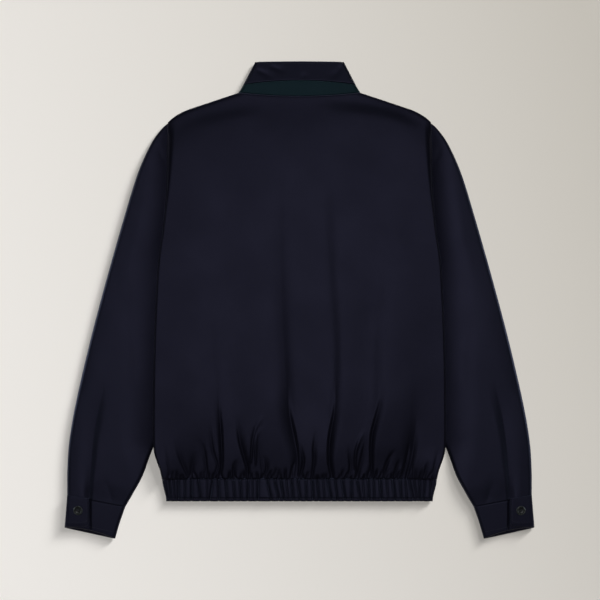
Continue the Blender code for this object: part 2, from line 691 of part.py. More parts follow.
Band = namedtuple("Band", "apex_x apex_y back_y front_y back_power front_power")
STAND_SEAM = Band(95.4, 333.0, NECK_BACK_Y, NECK_FRONT_Y, 2.0, 2.3)
STAND_TOP = Band(90.0, 344.6, 351.4, 274.0, 2.0, 2.0)
LEAF_TOP = Band(72.4, 381.6, COLLAR_TOP_Y, 314.0, 2.0, 2.0)


def band_level(low, high, share):
    return Band(*(lerp(a, b, share) for a, b in zip(low, high)))


def level_y(level, x, layer):
    """Height on one level of the collar: layer runs from front (-1) round the fold to back (1)."""
    reach = abs(x) / level.apex_x
    back = lerp(level.back_y, level.apex_y, reach ** level.back_power)
    front = lerp(level.front_y, level.apex_y, reach ** level.front_power)
    return lerp(front, back, 0.5 + 0.5 * layer)


def make_collar_band(name, low, high, low_gap, high_gap, look):
    """A strip round the neck, from one front end round both folds to the other."""
    middle = 0.5 * COLLAR_HEIGHT
    rows = []
    for share in (0.0, 0.33, 0.67, 1.0):
        level = band_level(low, high, share)
        gap = low_gap * (1.0 - share) - high_gap * share
        width = level.apex_x
        back = [width - d for d in fold_offsets(TUBE_REACH)]
        back += [lerp(back[-1], -back[-1], k / 12) for k in range(1, 12)]
        back += [-width + d for d in reversed(fold_offsets(TUBE_REACH))]
        front = [lerp(ZIP_OPENING, width - TUBE_REACH, k / 6) for k in range(6)]
        front += [width - d for d in reversed(fold_offsets(TUBE_REACH)[1:])]
        path = [(x, -1.0) for x in front] + [(x, 1.0) for x in back]
        path += [(-x, -1.0) for x in reversed(front)]
        outer, inner = [], []
        for x, sign in path:
            rounded = roundness(width - abs(x), TUBE_REACH)
            inside = x - math.copysign(CUFF_CLOTH * (1.0 - rounded), x)
            outer.append(Vector((x, level_y(level, x, sign * rounded) + gap,
                                 middle + sign * middle * rounded)))
            inner.append(Vector((inside, level_y(level, inside, sign * rounded) + gap,
                                 middle + sign * (middle - CUFF_CLOTH) * rounded)))
        rows.append((list(range(len(path))), outer, inner))
    return wall(name, rows, look)


# ---------------------------------------------------------------- zip on the underside
def make_tape(name, side, look):
    """Woven tape with the thick edge that carries the teeth."""
    edge, bead = 0.5 * SEAM_GAP, 2.4
    profile = [(edge, ZIP_TAPE_Z), (ZIP_TAPE_WIDTH, ZIP_TAPE_Z),
               (ZIP_TAPE_WIDTH, ZIP_TAPE_Z + 0.7), (bead, ZIP_TAPE_Z + 0.7),
               (bead, ZIP_TAPE_Z + 1.3), (edge, ZIP_TAPE_Z + 1.3)]
    bm = bmesh.new()
    section = [bm.verts.new((side * x, HEM_Y + 1.5, z)) for x, z in profile]
    face = bm.faces.new(section)
    lifted = bmesh.ops.extrude_face_region(bm, geom=[face])["geom"]
    far = [v for v in lifted if isinstance(v, bmesh.types.BMVert)]
    bmesh.ops.translate(bm, verts=far, vec=(0.0, ZIP_TOP_Y - HEM_Y - 1.5, 0.0))
    bmesh.ops.recalc_face_normals(bm, faces=bm.faces)
    return finish(name, bm, look)


def add_box(bm, low, high):
    made = bmesh.ops.create_cube(bm, size=1.0)["verts"]
    size = Vector(high) - Vector(low)
    bmesh.ops.scale(bm, verts=made, vec=size)
    bmesh.ops.translate(bm, verts=made, vec=0.5 * (Vector(low) + Vector(high)))
    return made


def add_rod(bm, radius, half_length, centre, segments):
    """A cylinder along X."""
    made = bmesh.ops.create_cone(bm, cap_ends=True, segments=segments, radius1=radius,
                                 radius2=radius, depth=2.0 * half_length)["verts"]
    bmesh.ops.rotate(bm, verts=made, cent=(0, 0, 0), matrix=Matrix.Rotation(math.pi / 2, 3, 'Y'))
    bmesh.ops.translate(bm, verts=made, vec=centre)
    return made


def joined(name, first, others, look):
    """Fuse or cut closed shapes into one body."""
    base = finish(name, first, look, 1.0)
    for number, (shape, how) in enumerate(others):
        tool = finish(f"{name}_form_{number}", shape, look, 1.0)
        tool.hide_render = True
        tool.display_type = 'WIRE'
        step = base.modifiers.new(f"form {number}", 'BOOLEAN')
        step.operation = how
        step.solver = 'EXACT'
        step.object = tool
    return base


def make_slider(look):
    """Slider body above the gap, with two ears that hold the pull's pin."""
    body_low, body_high = PULL_PIN_Z + 1.7, PULL_PIN_Z + 3.4
    body = bmesh.new()
    add_box(body, (-3.6, ZIP_TOP_Y + SEAM_GAP, body_low), (3.6, ZIP_TOP_Y + 11.0, body_high))
    corners = [e for e in body.edges if abs(e.verts[0].co.z - e.verts[1].co.z) > 1.0]
    bmesh.ops.bevel(body, geom=corners, offset=1.6, segments=3, profile=0.5, affect='EDGES',
                    material=-1)
    forms = []
    for side in (-1.0, 1.0):
        ear = bmesh.new()
        low_x, high_x = sorted((side * 1.6, side * 2.5))
        add_box(ear, (low_x, PULL_PIN_Y - 1.1, PULL_PIN_Z - 0.9),
                (high_x, PULL_PIN_Y + 1.1, body_low + 0.5))
        forms.append((ear, 'UNION'))
    pin = bmesh.new()
    add_rod(pin, 0.5, 2.0, (0.0, PULL_PIN_Y, PULL_PIN_Z), 12)
    forms.append((pin, 'UNION'))
    return joined("zip_slider", body, forms, look)


def make_pull(look):
    """Pull tab: an eye round the slider's pin and a flat tongue that lies in the front's gap."""
    eye = bmesh.new()
    add_rod(eye, 1.35, 1.25, (0.0, PULL_PIN_Y, PULL_PIN_Z), 20)
    tongue = bmesh.new()
    add_box(tongue, (-2.5, PULL_PIN_Y - PULL_LENGTH, PULL_PIN_Z - 0.5),
            (2.5, PULL_PIN_Y - 1.9, PULL_PIN_Z + 0.5))
    corners = [e for e in tongue.edges if abs(e.verts[0].co.z - e.verts[1].co.z) > 0.5]
    bmesh.ops.bevel(tongue, geom=corners, offset=1.2, segments=3, profile=0.5, affect='EDGES',
                    material=-1)
    neck = bmesh.new()
    add_box(neck, (-1.1, PULL_PIN_Y - 3.2, PULL_PIN_Z - 0.4),
            (1.1, PULL_PIN_Y - 1.0, PULL_PIN_Z + 0.4))
    bore = bmesh.new()
    add_rod(bore, 0.8, 3.0, (0.0, PULL_PIN_Y, PULL_PIN_Z), 16)
    slot = bmesh.new()
    add_box(slot, (-1.0, PULL_PIN_Y - PULL_LENGTH + 2.5, PULL_PIN_Z - 2.0),
            (1.0, PULL_PIN_Y - PULL_LENGTH + 9.0, PULL_PIN_Z + 2.0))
    forms = [(tongue, 'UNION'), (neck, 'UNION'), (bore, 'DIFFERENCE'), (slot, 'DIFFERENCE')]
    return joined("zip_pull", eye, forms, look)


def clear_scene():
    for existing in list(bpy.data.objects):
        bpy.data.objects.remove(existing, do_unlink=True)


def main():
    clear_scene()
    navy = material("navy cloth", NAVY, 0.55)
    green = material("green cloth", GREEN, 0.6)
    horn = material("button horn", BUTTON_COLOUR, 0.3)
    tape = material("zip tape", TAPE_COLOUR, 0.8)
    metal = material("zip metal", METAL_COLOUR, 0.3, 1.0)
    make_back(navy)
    make_waistband(navy)
    make_collar_band("collar_stand", STAND_SEAM, STAND_TOP, 0.4, 0.4, green)
    make_collar_band("collar", STAND_TOP, LEAF_TOP, 0.4, 0.0, navy)
    for word, side in (("left", -1.0), ("right", 1.0)):
        make_front(f"front_{word}", side, navy)
        make_sleeve(f"sleeve_{word}", side, navy)
        make_cuff(f"cuff_{word}", side, navy)
        make_tab(f"cuff_tab_{word}", side, navy)
        make_button(f"button_{word}", side, horn)
        make_tape(f"zip_tape_{word}", side, tape)
    make_slider(metal)
    make_pull(metal)


main()
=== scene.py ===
"""Looks of a light blouson, laid flat with its back up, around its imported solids.

Every cloth piece is a sheet that follows the solid it stands for, with the gathers, pleats,
creases, seams and stitching that the solid leaves out. Tables and shape functions are in
millimetres, in the frame's axes: X across the shoulders, Y from hem to collar, Z up. The sleeve
tables hold the right side, and the left side mirrors them. Meshes are scaled to metres.
"""
import math
import random
from collections import namedtuple

import bmesh
import bpy
import numpy as np
from bpy.props import FloatProperty, FloatVectorProperty, IntProperty, PointerProperty
from mathutils import Matrix, Vector


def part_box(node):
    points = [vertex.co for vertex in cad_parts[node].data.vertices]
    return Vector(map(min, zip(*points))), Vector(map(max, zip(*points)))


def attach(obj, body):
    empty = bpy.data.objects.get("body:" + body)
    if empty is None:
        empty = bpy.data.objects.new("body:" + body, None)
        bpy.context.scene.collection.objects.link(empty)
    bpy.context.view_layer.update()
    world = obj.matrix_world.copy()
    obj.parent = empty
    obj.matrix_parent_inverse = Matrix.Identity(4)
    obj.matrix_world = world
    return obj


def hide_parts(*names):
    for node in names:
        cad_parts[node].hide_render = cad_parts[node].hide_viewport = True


bl_info = {
    "name": "Blouson laid flat",
    "version": (1, 0, 0),
    "blender": (4, 5, 0),
    "location": "View3D > Sidebar > Jacket",
    "description": "Builds the cloth, sewing, buttons and zip of a blouson around its solids",
    "category": "Object",
}

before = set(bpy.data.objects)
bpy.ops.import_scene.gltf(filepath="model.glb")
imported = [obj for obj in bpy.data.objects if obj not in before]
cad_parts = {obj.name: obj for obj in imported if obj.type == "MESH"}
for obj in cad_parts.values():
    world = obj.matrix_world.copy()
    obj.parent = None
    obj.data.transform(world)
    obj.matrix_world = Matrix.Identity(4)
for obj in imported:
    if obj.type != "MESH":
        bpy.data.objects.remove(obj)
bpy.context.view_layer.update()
MM = 0.001


def box_mm(node):
    """Lowest and highest corner of a solid, in millimetres."""
    low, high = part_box(node)
    return low / MM, high / MM


# ---------------------------------------------------------------- places read from the frame
CUFF_HEIGHT = box_mm("cuff_right")[1].z
SLEEVE_HEIGHT = box_mm("sleeve_right")[1].z
COLLAR_HEIGHT = box_mm("collar")[1].z
COLLAR_TOP_Y = box_mm("collar")[1].y
TAB_LOW, TAB_HIGH = box_mm("cuff_tab_right")
BUTTON_LOW, BUTTON_HIGH = box_mm("button_right")
TAPE_LOW, TAPE_HIGH = box_mm("zip_tape_right")

WAIST_SEAM_Y = box_mm("back")[0].y
HEM_Y, BAND_TOP_Y = (corner.y for corner in box_mm("waistband"))

# ---------------------------------------------------------------- sizes of the cut (mm)
NECK_BACK_Y = 326.4
NECK_SIDE_X = 96.5
NECK_SIDE_Y = 332.0
NECK_FRONT_Y = 250.0
SHOULDER_TIP_X = 210.4
SHOULDER_TIP_Y = 284.0
UNDERARM_Y = 107.0
UNDERARM_TUCK_X = 98.0
SLEEVE_LEAVES_X = 236.0
SLEEVE_LEAVES_Y = -240.0
HEM_HALF_WIDTH = 213.6
SLEEVE_LENGTH = 640.0         # along its outer fold
CUFF_LENGTH = 52.0
STAND_LENGTH = 25.0
LEAF_LENGTH = 31.0
HEM_STITCH = 5.0              # from the hem up to its stitches
CUFF_STITCH_SHARE = 0.80      # of the cuff's length

CLOTH = 1.8                   # room that one layer has in the solids
SEAM_GAP = 0.3
LAYER_GAP = 0.5
TUCK = 3.2                    # how far a band's sewn edge runs under its neighbour
NECK_SEAM_GAP = 0.9
FOLD_REACH = 7.0              # width of the rounding beside a pressed fold
SIDE_FOLD_REACH = 3.4
SIDE_FOLD_TOP_REACH = 13.0    # the same at the armhole
TUBE_REACH = 6.0
SLEEVE_PRESSED = 5.0
SLEEVE_PUFF = 1.7
LIFT_REACH = 60.0
LIFT_MARGIN = 16.0
SLANT = 0.9
BODY_CLEARANCE = 2.6
LEAST_CLEARANCE = 0.7
ZIP_CLEARANCE = 2.6
ZIP_HALF_BAND = 30.0
SLIDER_CLEARANCE = 3.8
SLIDER_BAND = 40.0
ZIP_BLEND = 14.0
SLIDER_BLEND = 24.0
SLIDER_Y = 301.5
SIDE_CALM = 0.30              # share by which gathers and slack are less at the sides
SIDE_CALM_X = 150.0
SIDE_CALM_REACH = 75.0
CHEST_SLACK = 1.6             # from CHEST_LOW above the waistband's seam, less at the shoulders
CHEST_LOW = 150.0
CHEST_RISE = 200.0
CHEST_FADE_Y = 190.0
CHEST_FADE = 130.0
ZIP_OPENING = 4.0
BRIDGE = 0.95
BLOUSING = 0.6
BLOUSING_RISE = 110.0
BLOUSING_FULL = 110.0
BLOUSING_FADE = 220.0
SHOULDER_FALL = 1.7
SHOULDER_FALL_REACH = 62.0
SEAM_PUFF = 1.1
SEAM_ROLL = 3.0               # where the blousing turns down into the waistband's seam
BRIDGE_RISE = 160.0
ARMHOLE_LOW_Y = 98.0          # above it the back's side is an armhole
ARMHOLE_BLEND = 24.0
ARMHOLE_ROUND_Y = 130.0       # above it the side's rounding widens
ARMHOLE_ROUND_RISE = 130.0
SLEEVE_END_SINK = 45.0        # length over which a sleeve sinks to its cuff
CUFF_MOUTH = 4.6              # how much shorter the cuff's upper layer is
BAND_CLOTH = 0.0014           # cloth with its interlining, in metres
CUFF_CLOTH = 0.0016
TAB_CLOTH = 0.0011
SIDES = (("left", -1.0), ("right", 1.0))

BODY_SIDE = [                 # y, half width
    (-287.3, 220.0), (-272.0, 223.5), (-258.0, 228.5),
    (-243.0, 232.8), (-224.0, 234.2), (-150.0, 234.2),
    (-80.0, 233.0), (-8.0, 230.4), (64.0, 225.8),
    (107.0, 219.6), (152.0, 215.2), (192.0, 213.4),
    (246.0, 212.2), (284.0, 210.4),
]
SHOULDER_LINE = [             # outlines from here on are (x, y)
    (97.0, 331.6), (108.0, 328.0), (136.8, 318.4), (165.6, 308.8),
    (180.0, 303.8), (189.6, 299.4), (197.6, 294.8), (205.0, 289.4),
    (210.4, 284.0),
]
FRONT_ARMHOLE = [
    (219.6, 100.0), (200.0, 106.0), (160.0, 108.0), (128.0, 114.0),
    (116.0, 126.0), (126.0, 150.0), (160.0, 206.0), (192.0, 258.0),
    (209.0, 282.0),
]
SLEEVE_OUTER = [
    (202.0, 285.4), (210.4, 283.4), (215.6, 279.6), (220.6, 274.6),
    (234.4, 256.4), (249.4, 226.6),
    (262.6, 193.0), (282.0, 129.0), (309.4, 32.5), (335.0, -64.0),
    (357.3, -160.0), (368.6, -224.0), (372.0, -272.0), (372.2, -313.0),
]
SLEEVE_INNER = [
    (98.0, 107.0), (146.0, -16.0), (194.0, -136.0), (236.0, -240.0),
    (251.0, -281.0), (266.0, -309.0), (278.5, -330.5),
]
TAB_EDGE_X = 337.3
CUFF_OUTER = [(372.3, -313.3), (374.6, -340.0), (376.6, -364.5)]
CUFF_INNER = [(278.9, -330.8), (288.0, -357.0), (295.4, -382.4)]

STEP_REACH = 80.0             # how far beside its line a broad step can be felt
Fold = namedtuple("Fold", "depth left right line")
GATHERS = [                   # from the waistband's seam upwards; a negative depth is a ridge
    Fold(0.9, 1.2, 3.0, ((-205, -286), (-209, -270), (-214, -247), (-218, -228))),
    Fold(1.7, 1.4, 6.0, ((-176, -286), (-184, -270), (-192, -250), (-203, -220))),
    Fold(1.7, 5.0, 4.0, ((-174, -287), (-172, -270), (-170, -256), (-170, -238))),
    Fold(1.3, 4.0, 1.4, ((-147, -286), (-149, -266), (-154, -235), (-168, -217))),
    Fold(1.3, 3.0, 1.2, ((-138, -286), (-131, -266), (-138, -243), (-142, -214), (-143, -186))),
    Fold(2.7, 3.6, 1.5, ((-129, -287), (-124, -262), (-125, -220), (-127, -186), (-129, -140))),
    Fold(2.7, 1.4, 5.0, ((-83, -286), (-84, -270), (-90, -247), (-96, -223), (-102, -180))),
    Fold(1.9, 1.2, 4.6, ((-106, -287), (-105, -266), (-98, -252))),
    Fold(1.0, 1.2, 2.6, ((-40, -286), (-36, -264))),
    Fold(1.7, 1.3, 4.0, ((-58, -286), (-53, -266), (-61, -244))),
    Fold(2.5, 1.4, 3.0, ((-15, -287), (-9, -263), (-1, -245))),
    Fold(2.2, 3.0, 1.3, ((0, -287), (6, -263), (5, -247), (-1, -223))),
    Fold(3.4, 10.0, 1.9, ((-4, -284), (-3, -250), (-8, -220), (-16, -180), (-20, -130))),
    Fold(2.0, 1.3, 3.6, ((19, -287), (23, -258), (23, -235), (27, -203))),
    Fold(3.6, 1.4, 6.6, ((52, -287), (47, -258), (48, -223), (56, -174), (58, -130))),
    Fold(1.1, 1.2, 2.6, ((67, -286), (71, -267))),
    Fold(1.4, 1.3, 4.4, ((77, -286), (81, -266), (77, -228))),
    Fold(2.1, 1.2, 6.0, ((91, -287), (95, -272), (101, -243), (107, -218))),
    Fold(-1.6, 2.2, 2.2, ((89, -270), (90, -243), (98, -220), (111, -202))),
    Fold(3.1, 1.4, 4.6, ((116, -286), (114, -247), (116, -214), (126, -174), (138, -128))),
    Fold(1.3, 1.2, 3.0, ((110, -286), (115, -258))),
    Fold(2.2, 1.3, 3.0, ((133, -287), (139, -263), (147, -247), (157, -238))),
    Fold(2.0, 1.3, 3.0, ((150, -287), (156, -266), (161, -252))),
    Fold(2.4, 3.4, 1.4, ((162, -287), (170, -263), (175, -235), (177, -209))),
    Fold(2.4, 10.0, 5.0, ((172, -284), (180, -250), (184, -220), (188, -176))),
    Fold(1.1, 1.2, 2.4, ((179, -286), (180, -258), (184, -241))),
    Fold(1.4, 1.2, 3.4, ((199, -286), (202, -269), (207, -254))),
    Fold(1.0, 1.4, 3.4, ((212, -286), (219, -250), (224, -236))),
    Fold(-1.5, 2.4, 2.4, ((-78, -260), (-74, -220), (-66, -197), (-56, -188), (-44, -190))),
    Fold(-1.3, 2.0, 2.0, ((-70, -264), (-69, -220), (-61, -208), (-48, -206))),
    Fold(0.8, 1.6, 5.0, ((-58, -284), (-61, -262), (-63, -236), (-58, -212))),
]
BROAD_STEPS = [               # drops that carry on up the back, to the right; negative: to the left
    Fold(4.4, 30.0, 20.0, ((-128, -262), (-130, -200), (-133, -140), (-141, -60), (-143, 60),
                           (-143, 220))),
    Fold(5.5, 19.0, 14.0, ((-6, -262), (-14, -236), (-18, -205), (-20, -145), (-25, -60),
                           (-30, 60), (-33, 250))),
    Fold(-3.8, 9.0, 9.0, ((52, -262), (49, -225), (55, -170), (60, -130), (60, -60), (52, 56),
                           (47, 250))),
    Fold(-4.4, 13.0, 15.0, ((118, -262), (116, -210), (124, -150), (126, -60), (138, 56),
                            (143, 200))),
    Fold(2.4, 16.0, 10.0, ((168, -268), (172, -236), (176, -200), (180, -120))),
]
SHOULDER_STEPS = [            # slopes that fall towards the shoulder seams
    Fold(-0.9, 12.0, 12.0, ((-208, 268), (-160, 286), (-100, 299), (-50, 304))),
    Fold(-2.1, 12.0, 12.0, ((10, 314), (56, 310), (100, 306), (150, 297), (208, 272))),
]
PLEAT_VALLEYS = [             # x at the waistband's seam, x at the hem, depth
    (-214.0, -211.0, 0.5), (-208.6, -206.0, 0.6), (-201.8, -199.5, 0.5), (-194.9, -194.6, 0.8),
    (-184.0, -183.2, 0.5), (-173.4, -173.4, 1.0), (-162.7, -158.9, 0.9), (-148.2, -148.0, 0.4),
    (-139.8, -143.8, 0.9), (-130.6, -129.5, 1.0), (-118.3, -116.0, 0.7), (-106.1, -103.8, 0.8),
    (-95.4, -93.8, 0.9), (-83.1, -83.1, 1.0), (-75.5, -75.0, 0.4), (-67.0, -67.3, 1.0),
    (-51.0, -45.6, 0.9), (-39.5, -33.4, 0.9), (-29.5, -24.9, 0.8), (-21.0, -18.0, 0.4),
    (-12.7, -10.4, 1.0), (-2.7, 1.1, 0.9), (10.3, 11.2, 0.7), (20.8, 22.3, 1.0),
    (28.4, 30.7, 0.9), (38.0, 40.0, 0.4), (46.0, 50.6, 1.0), (57.5, 60.6, 0.6),
    (69.0, 72.8, 1.0), (83.5, 83.5, 0.9), (92.7, 97.3, 0.8), (101.5, 104.0, 0.4),
    (110.3, 111.1, 0.9), (118.8, 120.0, 0.5), (129.5, 131.0, 1.0), (140.0, 142.0, 0.4),
    (150.1, 153.2, 0.9), (161.6, 163.2, 0.7), (170.0, 172.0, 0.5), (176.2, 182.3, 0.8),
    (183.8, 188.4, 0.6), (193.0, 192.4, 0.8), (200.7, 198.4, 0.8), (210.6, 209.8, 0.7),
]
SLEEVE_CREASES = [
    Fold(2.1, 4.5, 12.0, ((336, -326), (336, -300), (333, -262), (330, -226), (325, -192),
                         (316, -150), (308, -120))),
    Fold(0.8, 14.0, 16.0, ((352, -150), (340, -60), (322, 20))),
    Fold(0.9, 18.0, 20.0, ((262, -120), (268, -20), (262, 80))),
    Fold(1.0, 3.0, 4.0, ((214, 218), (222, 236), (224, 250))),
    Fold(0.8, 3.0, 4.0, ((206, 226), (213, 243), (216, 262))),
    Fold(0.4, 7.0, 8.0, ((300, -322), (306, -300), (318, -282))),
]
COLLAR_CREASES = [
    Fold(0.8, 4.0, 5.0, ((-66, 368), (-54, 362), (-38, 350))),
    Fold(0.7, 4.0, 5.0, ((-44, 374), (-32, 369), (-18, 364))),
    Fold(0.6, 4.0, 5.0, ((4, 352), (6, 358), (12, 366))),
    Fold(0.8, 5.0, 5.0, ((66, 374), (60, 364), (44, 352))),
]


# ---------------------------------------------------------------- what a user would change
def colour(name, description, default):
    return FloatVectorProperty(name=name, description=description, subtype='COLOR', size=3,
                               min=0.0, max=1.0, default=default)


def length(name, description, low, high, default):
    return FloatProperty(name=name, description=description, unit='LENGTH', min=low, max=high,
                         default=default)


def level(name, description, default):
    return FloatProperty(name=name, description=description, subtype='FACTOR', min=0.0, max=1.0,
                         default=default)


class JacketCloth(bpy.types.PropertyGroup):
    navy: colour("Shell colour", "Colour of the shell cloth", (0.0050, 0.0050, 0.0085))
    green: colour("Stand colour", "Colour of the collar stand's cloth", (0.0030, 0.0100, 0.0110))
    thread: colour("Thread colour", "Colour of the stitching", (0.016, 0.016, 0.028))
    tape: colour("Zip tape colour", "Colour of the zip's tape and teeth", (0.012, 0.012, 0.018))
    roughness: level("Cloth roughness", "Mean roughness of the shell cloth", 0.42)
    twill: length("Twill pitch", "Distance between two diagonal ribs of the weave",
                  0.0002, 0.01, 0.0008)
    thickness: length("Cloth thickness", "Thickness of one layer of shell cloth",
                      0.0002, 0.0018, 0.0009)
    specular: level("Cloth gloss", "Specular level of the shell cloth", 0.42)
    navy_shine: colour("Shell shine", "Tint of the shell cloth's soft shine", (0.55, 0.55, 1.0))
    green_shine: colour("Stand shine", "Tint of the stand cloth's soft shine",
                        (0.34, 0.62, 0.82))


class JacketSewing(bpy.types.PropertyGroup):
    stitch: length("Stitch length", "Length of one topstitch", 0.001, 0.01, 0.0026)
    thread: length("Thread width", "Width of the sewing thread", 0.0001, 0.002, 0.0005)
    pleat: length("Pleat height", "Height of the waistband's pleats", 0.0, 0.005, 0.0029)
    gathers: FloatProperty(
        name="Gather strength", description="Depth of the gathers, as a share of the drawn one",
        min=0.0, max=1.5, default=1.0)
    puckers: IntProperty(
        name="Puckers", description="Number of small puckers along the waistband's seam",
        min=0, max=200, default=66)


class JacketStage(bpy.types.PropertyGroup):
    # The floor's two colours paint light falling off across it: painted light at the left, painted
    # shade at the right.
    floor_painted_bright: colour("Floor, light side", "Floor colour at the left", (0.93, 0.90, 0.86))
    floor_painted_shade: colour("Floor, dark side", "Floor colour at the right", (0.48, 0.455, 0.41))
    view_width: length("View width", "Width of the floor that the camera shows", 0.1, 5.0, 0.96)
    lens: FloatProperty(
        name="Lens", description="Focal length of the camera, in millimetres",
        min=20.0, max=300.0, default=110.0)


# ---------------------------------------------------------------- small maths on arrays
def unit(value):
    return np.clip(value, 0.0, 1.0)


def ramp(value):
    """Smooth step from 0 to 1."""
    value = unit(value)
    return value * value * (3.0 - 2.0 * value)


def lerp(a, b, factor):
    return a + (b - a) * factor


def roundness(distance, reach):
    """Height factor of a rounded fold: 0 at its edge, 1 where the cloth is flat."""
    return np.sqrt(unit(1.0 - (1.0 - unit(distance / reach)) ** 2))


def roll(distance, reach, depth=1.0):
    """Depth by which a rounded edge falls away towards its seam."""
    return depth - depth * roundness(distance, reach)


def value_at(table, key):
    """Smooth value of a rising table of (key, value)."""
    keys, values = np.array(table, float).T
    last = len(keys) - 1
    rows = np.arange(last + 1)
    low, high = np.maximum(rows - 1, 0), np.minimum(rows + 1, last)
    slopes = (values[high] - values[low]) / (keys[high] - keys[low])
    key = np.clip(key, keys[0], keys[-1])
    k = np.clip(np.searchsorted(keys, key) - 1, 0, last - 1)
    step = keys[k + 1] - keys[k]
    t = (key - keys[k]) / step
    return ((1 + 2 * t) * (1 - t) ** 2 * values[k] + t * (1 - t) ** 2 * step * slopes[k]
            + t * t * (3 - 2 * t) * values[k + 1] + t * t * (t - 1) * step * slopes[k + 1])


def along(points, share):
    """x and y at shares of a smooth curve's length."""
    knots = np.array(points, float)
    lengths = np.concatenate([[0.0], np.cumsum(np.linalg.norm(np.diff(knots, axis=0), axis=1))])
    target = unit(share) * lengths[-1]
    k = np.clip(np.searchsorted(lengths, target) - 1, 0, len(knots) - 2)
    t = ((target - lengths[k]) / (lengths[k + 1] - lengths[k]))[..., None]
    padded = np.vstack([2 * knots[0] - knots[1], knots, 2 * knots[-1] - knots[-2]])
    p0, p1, p2, p3 = (padded[k + n] for n in range(4))
    place = 0.5 * (2 * p1 + (p2 - p0) * t + (2 * p0 - 5 * p1 + 4 * p2 - p3) * t ** 2
                   + (3 * p1 - p0 - 3 * p2 + p3) * t ** 3)
    return place[..., 0], place[..., 1]


def fold_distance(fold, x, y, reach):
    """Mask of the points near a fold, their distance from its line (left is negative), and how
    far along the line they are."""
    line_x, line_y = along(fold.line, np.linspace(0.0, 1.0, 33))
    margin = reach * max(fold.left, fold.right)
    near = ((x > line_x.min() - margin) & (x < line_x.max() + margin)
            & (y > line_y.min() - margin) & (y < line_y.max() + margin))
    px, py = x[near][:, None], y[near][:, None]
    run_x, run_y = np.diff(line_x), np.diff(line_y)
    t = unit(((px - line_x[:-1]) * run_x + (py - line_y[:-1]) * run_y)
                / (run_x ** 2 + run_y ** 2))
    off_x, off_y = px - line_x[:-1] - t * run_x, py - line_y[:-1] - t * run_y
    gaps = np.hypot(off_x, off_y)
    k = gaps.argmin(axis=1)
    rows = np.arange(len(k))
    side = np.where(run_x[k] * off_y[rows, k] - run_y[k] * off_x[rows, k] > 0.0, -1.0, 1.0)
    return near, side * gaps[rows, k], (k + t[rows, k]) / len(run_x)


def relief(folds, x, y, hold=0.35):
    """Depth of folds at points. Each is a trough, steepest along its line, that keeps its depth
    up to the held share of the line and widens towards its tip. Where troughs meet, the deeper
    one counts most. A negative depth is a ridge."""
    troughs, ridges = np.zeros_like(x), np.zeros_like(x)
    for fold in folds:
        near, distance, share = fold_distance(fold, x, y, 5.0)
        width = np.where(distance < 0.0, fold.left, fold.right)
        widening = np.where(width < 2.0, 0.9 + 1.2 * share, 0.55 + 1.1 * share)
        profile = unit(1.0 - 0.45 * np.abs(distance / (width * widening))) ** 2
        fade = ramp((share + 0.12) / 0.22) * (1.0 - ramp((share - hold) / (1.0 - hold)))
        depth = fold.depth * fade * profile
        troughs[near] += np.maximum(depth, 0.0) ** 3
        ridges[near] += np.minimum(depth, 0.0)
    return np.cbrt(troughs) + ridges


def broad_steps(folds, x, y):
    """Depth of broad steps: the cloth falls across each upright line and evens out beyond."""
    total = np.zeros_like(x)
    for fold in folds:
        table = [(line_y, line_x) for line_x, line_y in fold.line]
        share = unit((y - table[0][0]) / (table[-1][0] - table[0][0]))
        distance = x - value_at(table, y)
        width = np.where(distance < 0.0, fold.left, fold.right) * (0.75 + 0.5 * share)
        fade = ramp(share / 0.25) * np.sqrt(1.0 - share) * ramp((1.0 - share) / 0.2)
        tail = np.exp(-(distance / STEP_REACH) ** 2)
        total += 0.5 * fold.depth * fade * np.tanh(distance / width) * tail
    return total


def soft_steps(folds, x, y):
    """Depth of soft slopes: the cloth falls across each line and rises slowly on both sides."""
    total = np.zeros_like(x)
    for fold in folds:
        near, distance, share = fold_distance(fold, x, y, 7.0)
        t = distance / np.where(distance < 0.0, fold.left, fold.right)
        fade = ramp(share / 0.5) * (1.0 - ramp((share - 0.7) / 0.3))
        total[near] += fold.depth * fade * t / (1.0 + t * t) * np.exp(-(t / 4.5) ** 2)
    return total


# ---------------------------------------------------------------- how the layers lie
def body_half_width(y):
    return value_at(BODY_SIDE, y)


def front_underside(x, y):
    """The surface in the middle, the top of a tucked sleeve at the sides."""
    rise = (y - UNDERARM_Y) / (SHOULDER_TIP_Y - UNDERARM_Y)
    drop = (UNDERARM_Y - y) / (UNDERARM_Y - SLEEVE_LEAVES_Y)
    reach = np.where(y > UNDERARM_Y, lerp(UNDERARM_TUCK_X, SHOULDER_TIP_X - 6.0, rise),
                     lerp(UNDERARM_TUCK_X, SLEEVE_LEAVES_X, drop))
    inside = (np.abs(x) - reach) * SLANT + LIFT_MARGIN
    return (SLEEVE_PRESSED + LAYER_GAP) * ramp((inside + LIFT_REACH) / LIFT_REACH)


def even_underside(x, y):
    """The back bridges the dip between the tucked sleeves, except towards the hem."""
    full = SLEEVE_PRESSED + LAYER_GAP
    rise = 1.0 - unit(1.0 - (y - WAIST_SEAM_Y) / BRIDGE_RISE) ** 2.2
    return lerp(front_underside(x, y), full, BRIDGE * rise)


def calm_side(x):
    return 1.0 - SIDE_CALM * ramp((np.abs(x) - SIDE_CALM_X) / SIDE_CALM_REACH)


def clearance(x, y):
    """Between front and back, without the gathers."""
    above = y - WAIST_SEAM_Y
    side = calm_side(x)
    fall = 1.0 - ramp((above - BLOUSING_FULL) / BLOUSING_FADE)
    puff = BLOUSING * (1.0 - unit(1.0 - above / BLOUSING_RISE) ** 2) * fall * side
    chest = (CHEST_SLACK * ramp((above - CHEST_LOW) / CHEST_RISE)
             * (1.0 - ramp((y - CHEST_FADE_Y) / CHEST_FADE)) * side)
    return BODY_CLEARANCE + puff + chest


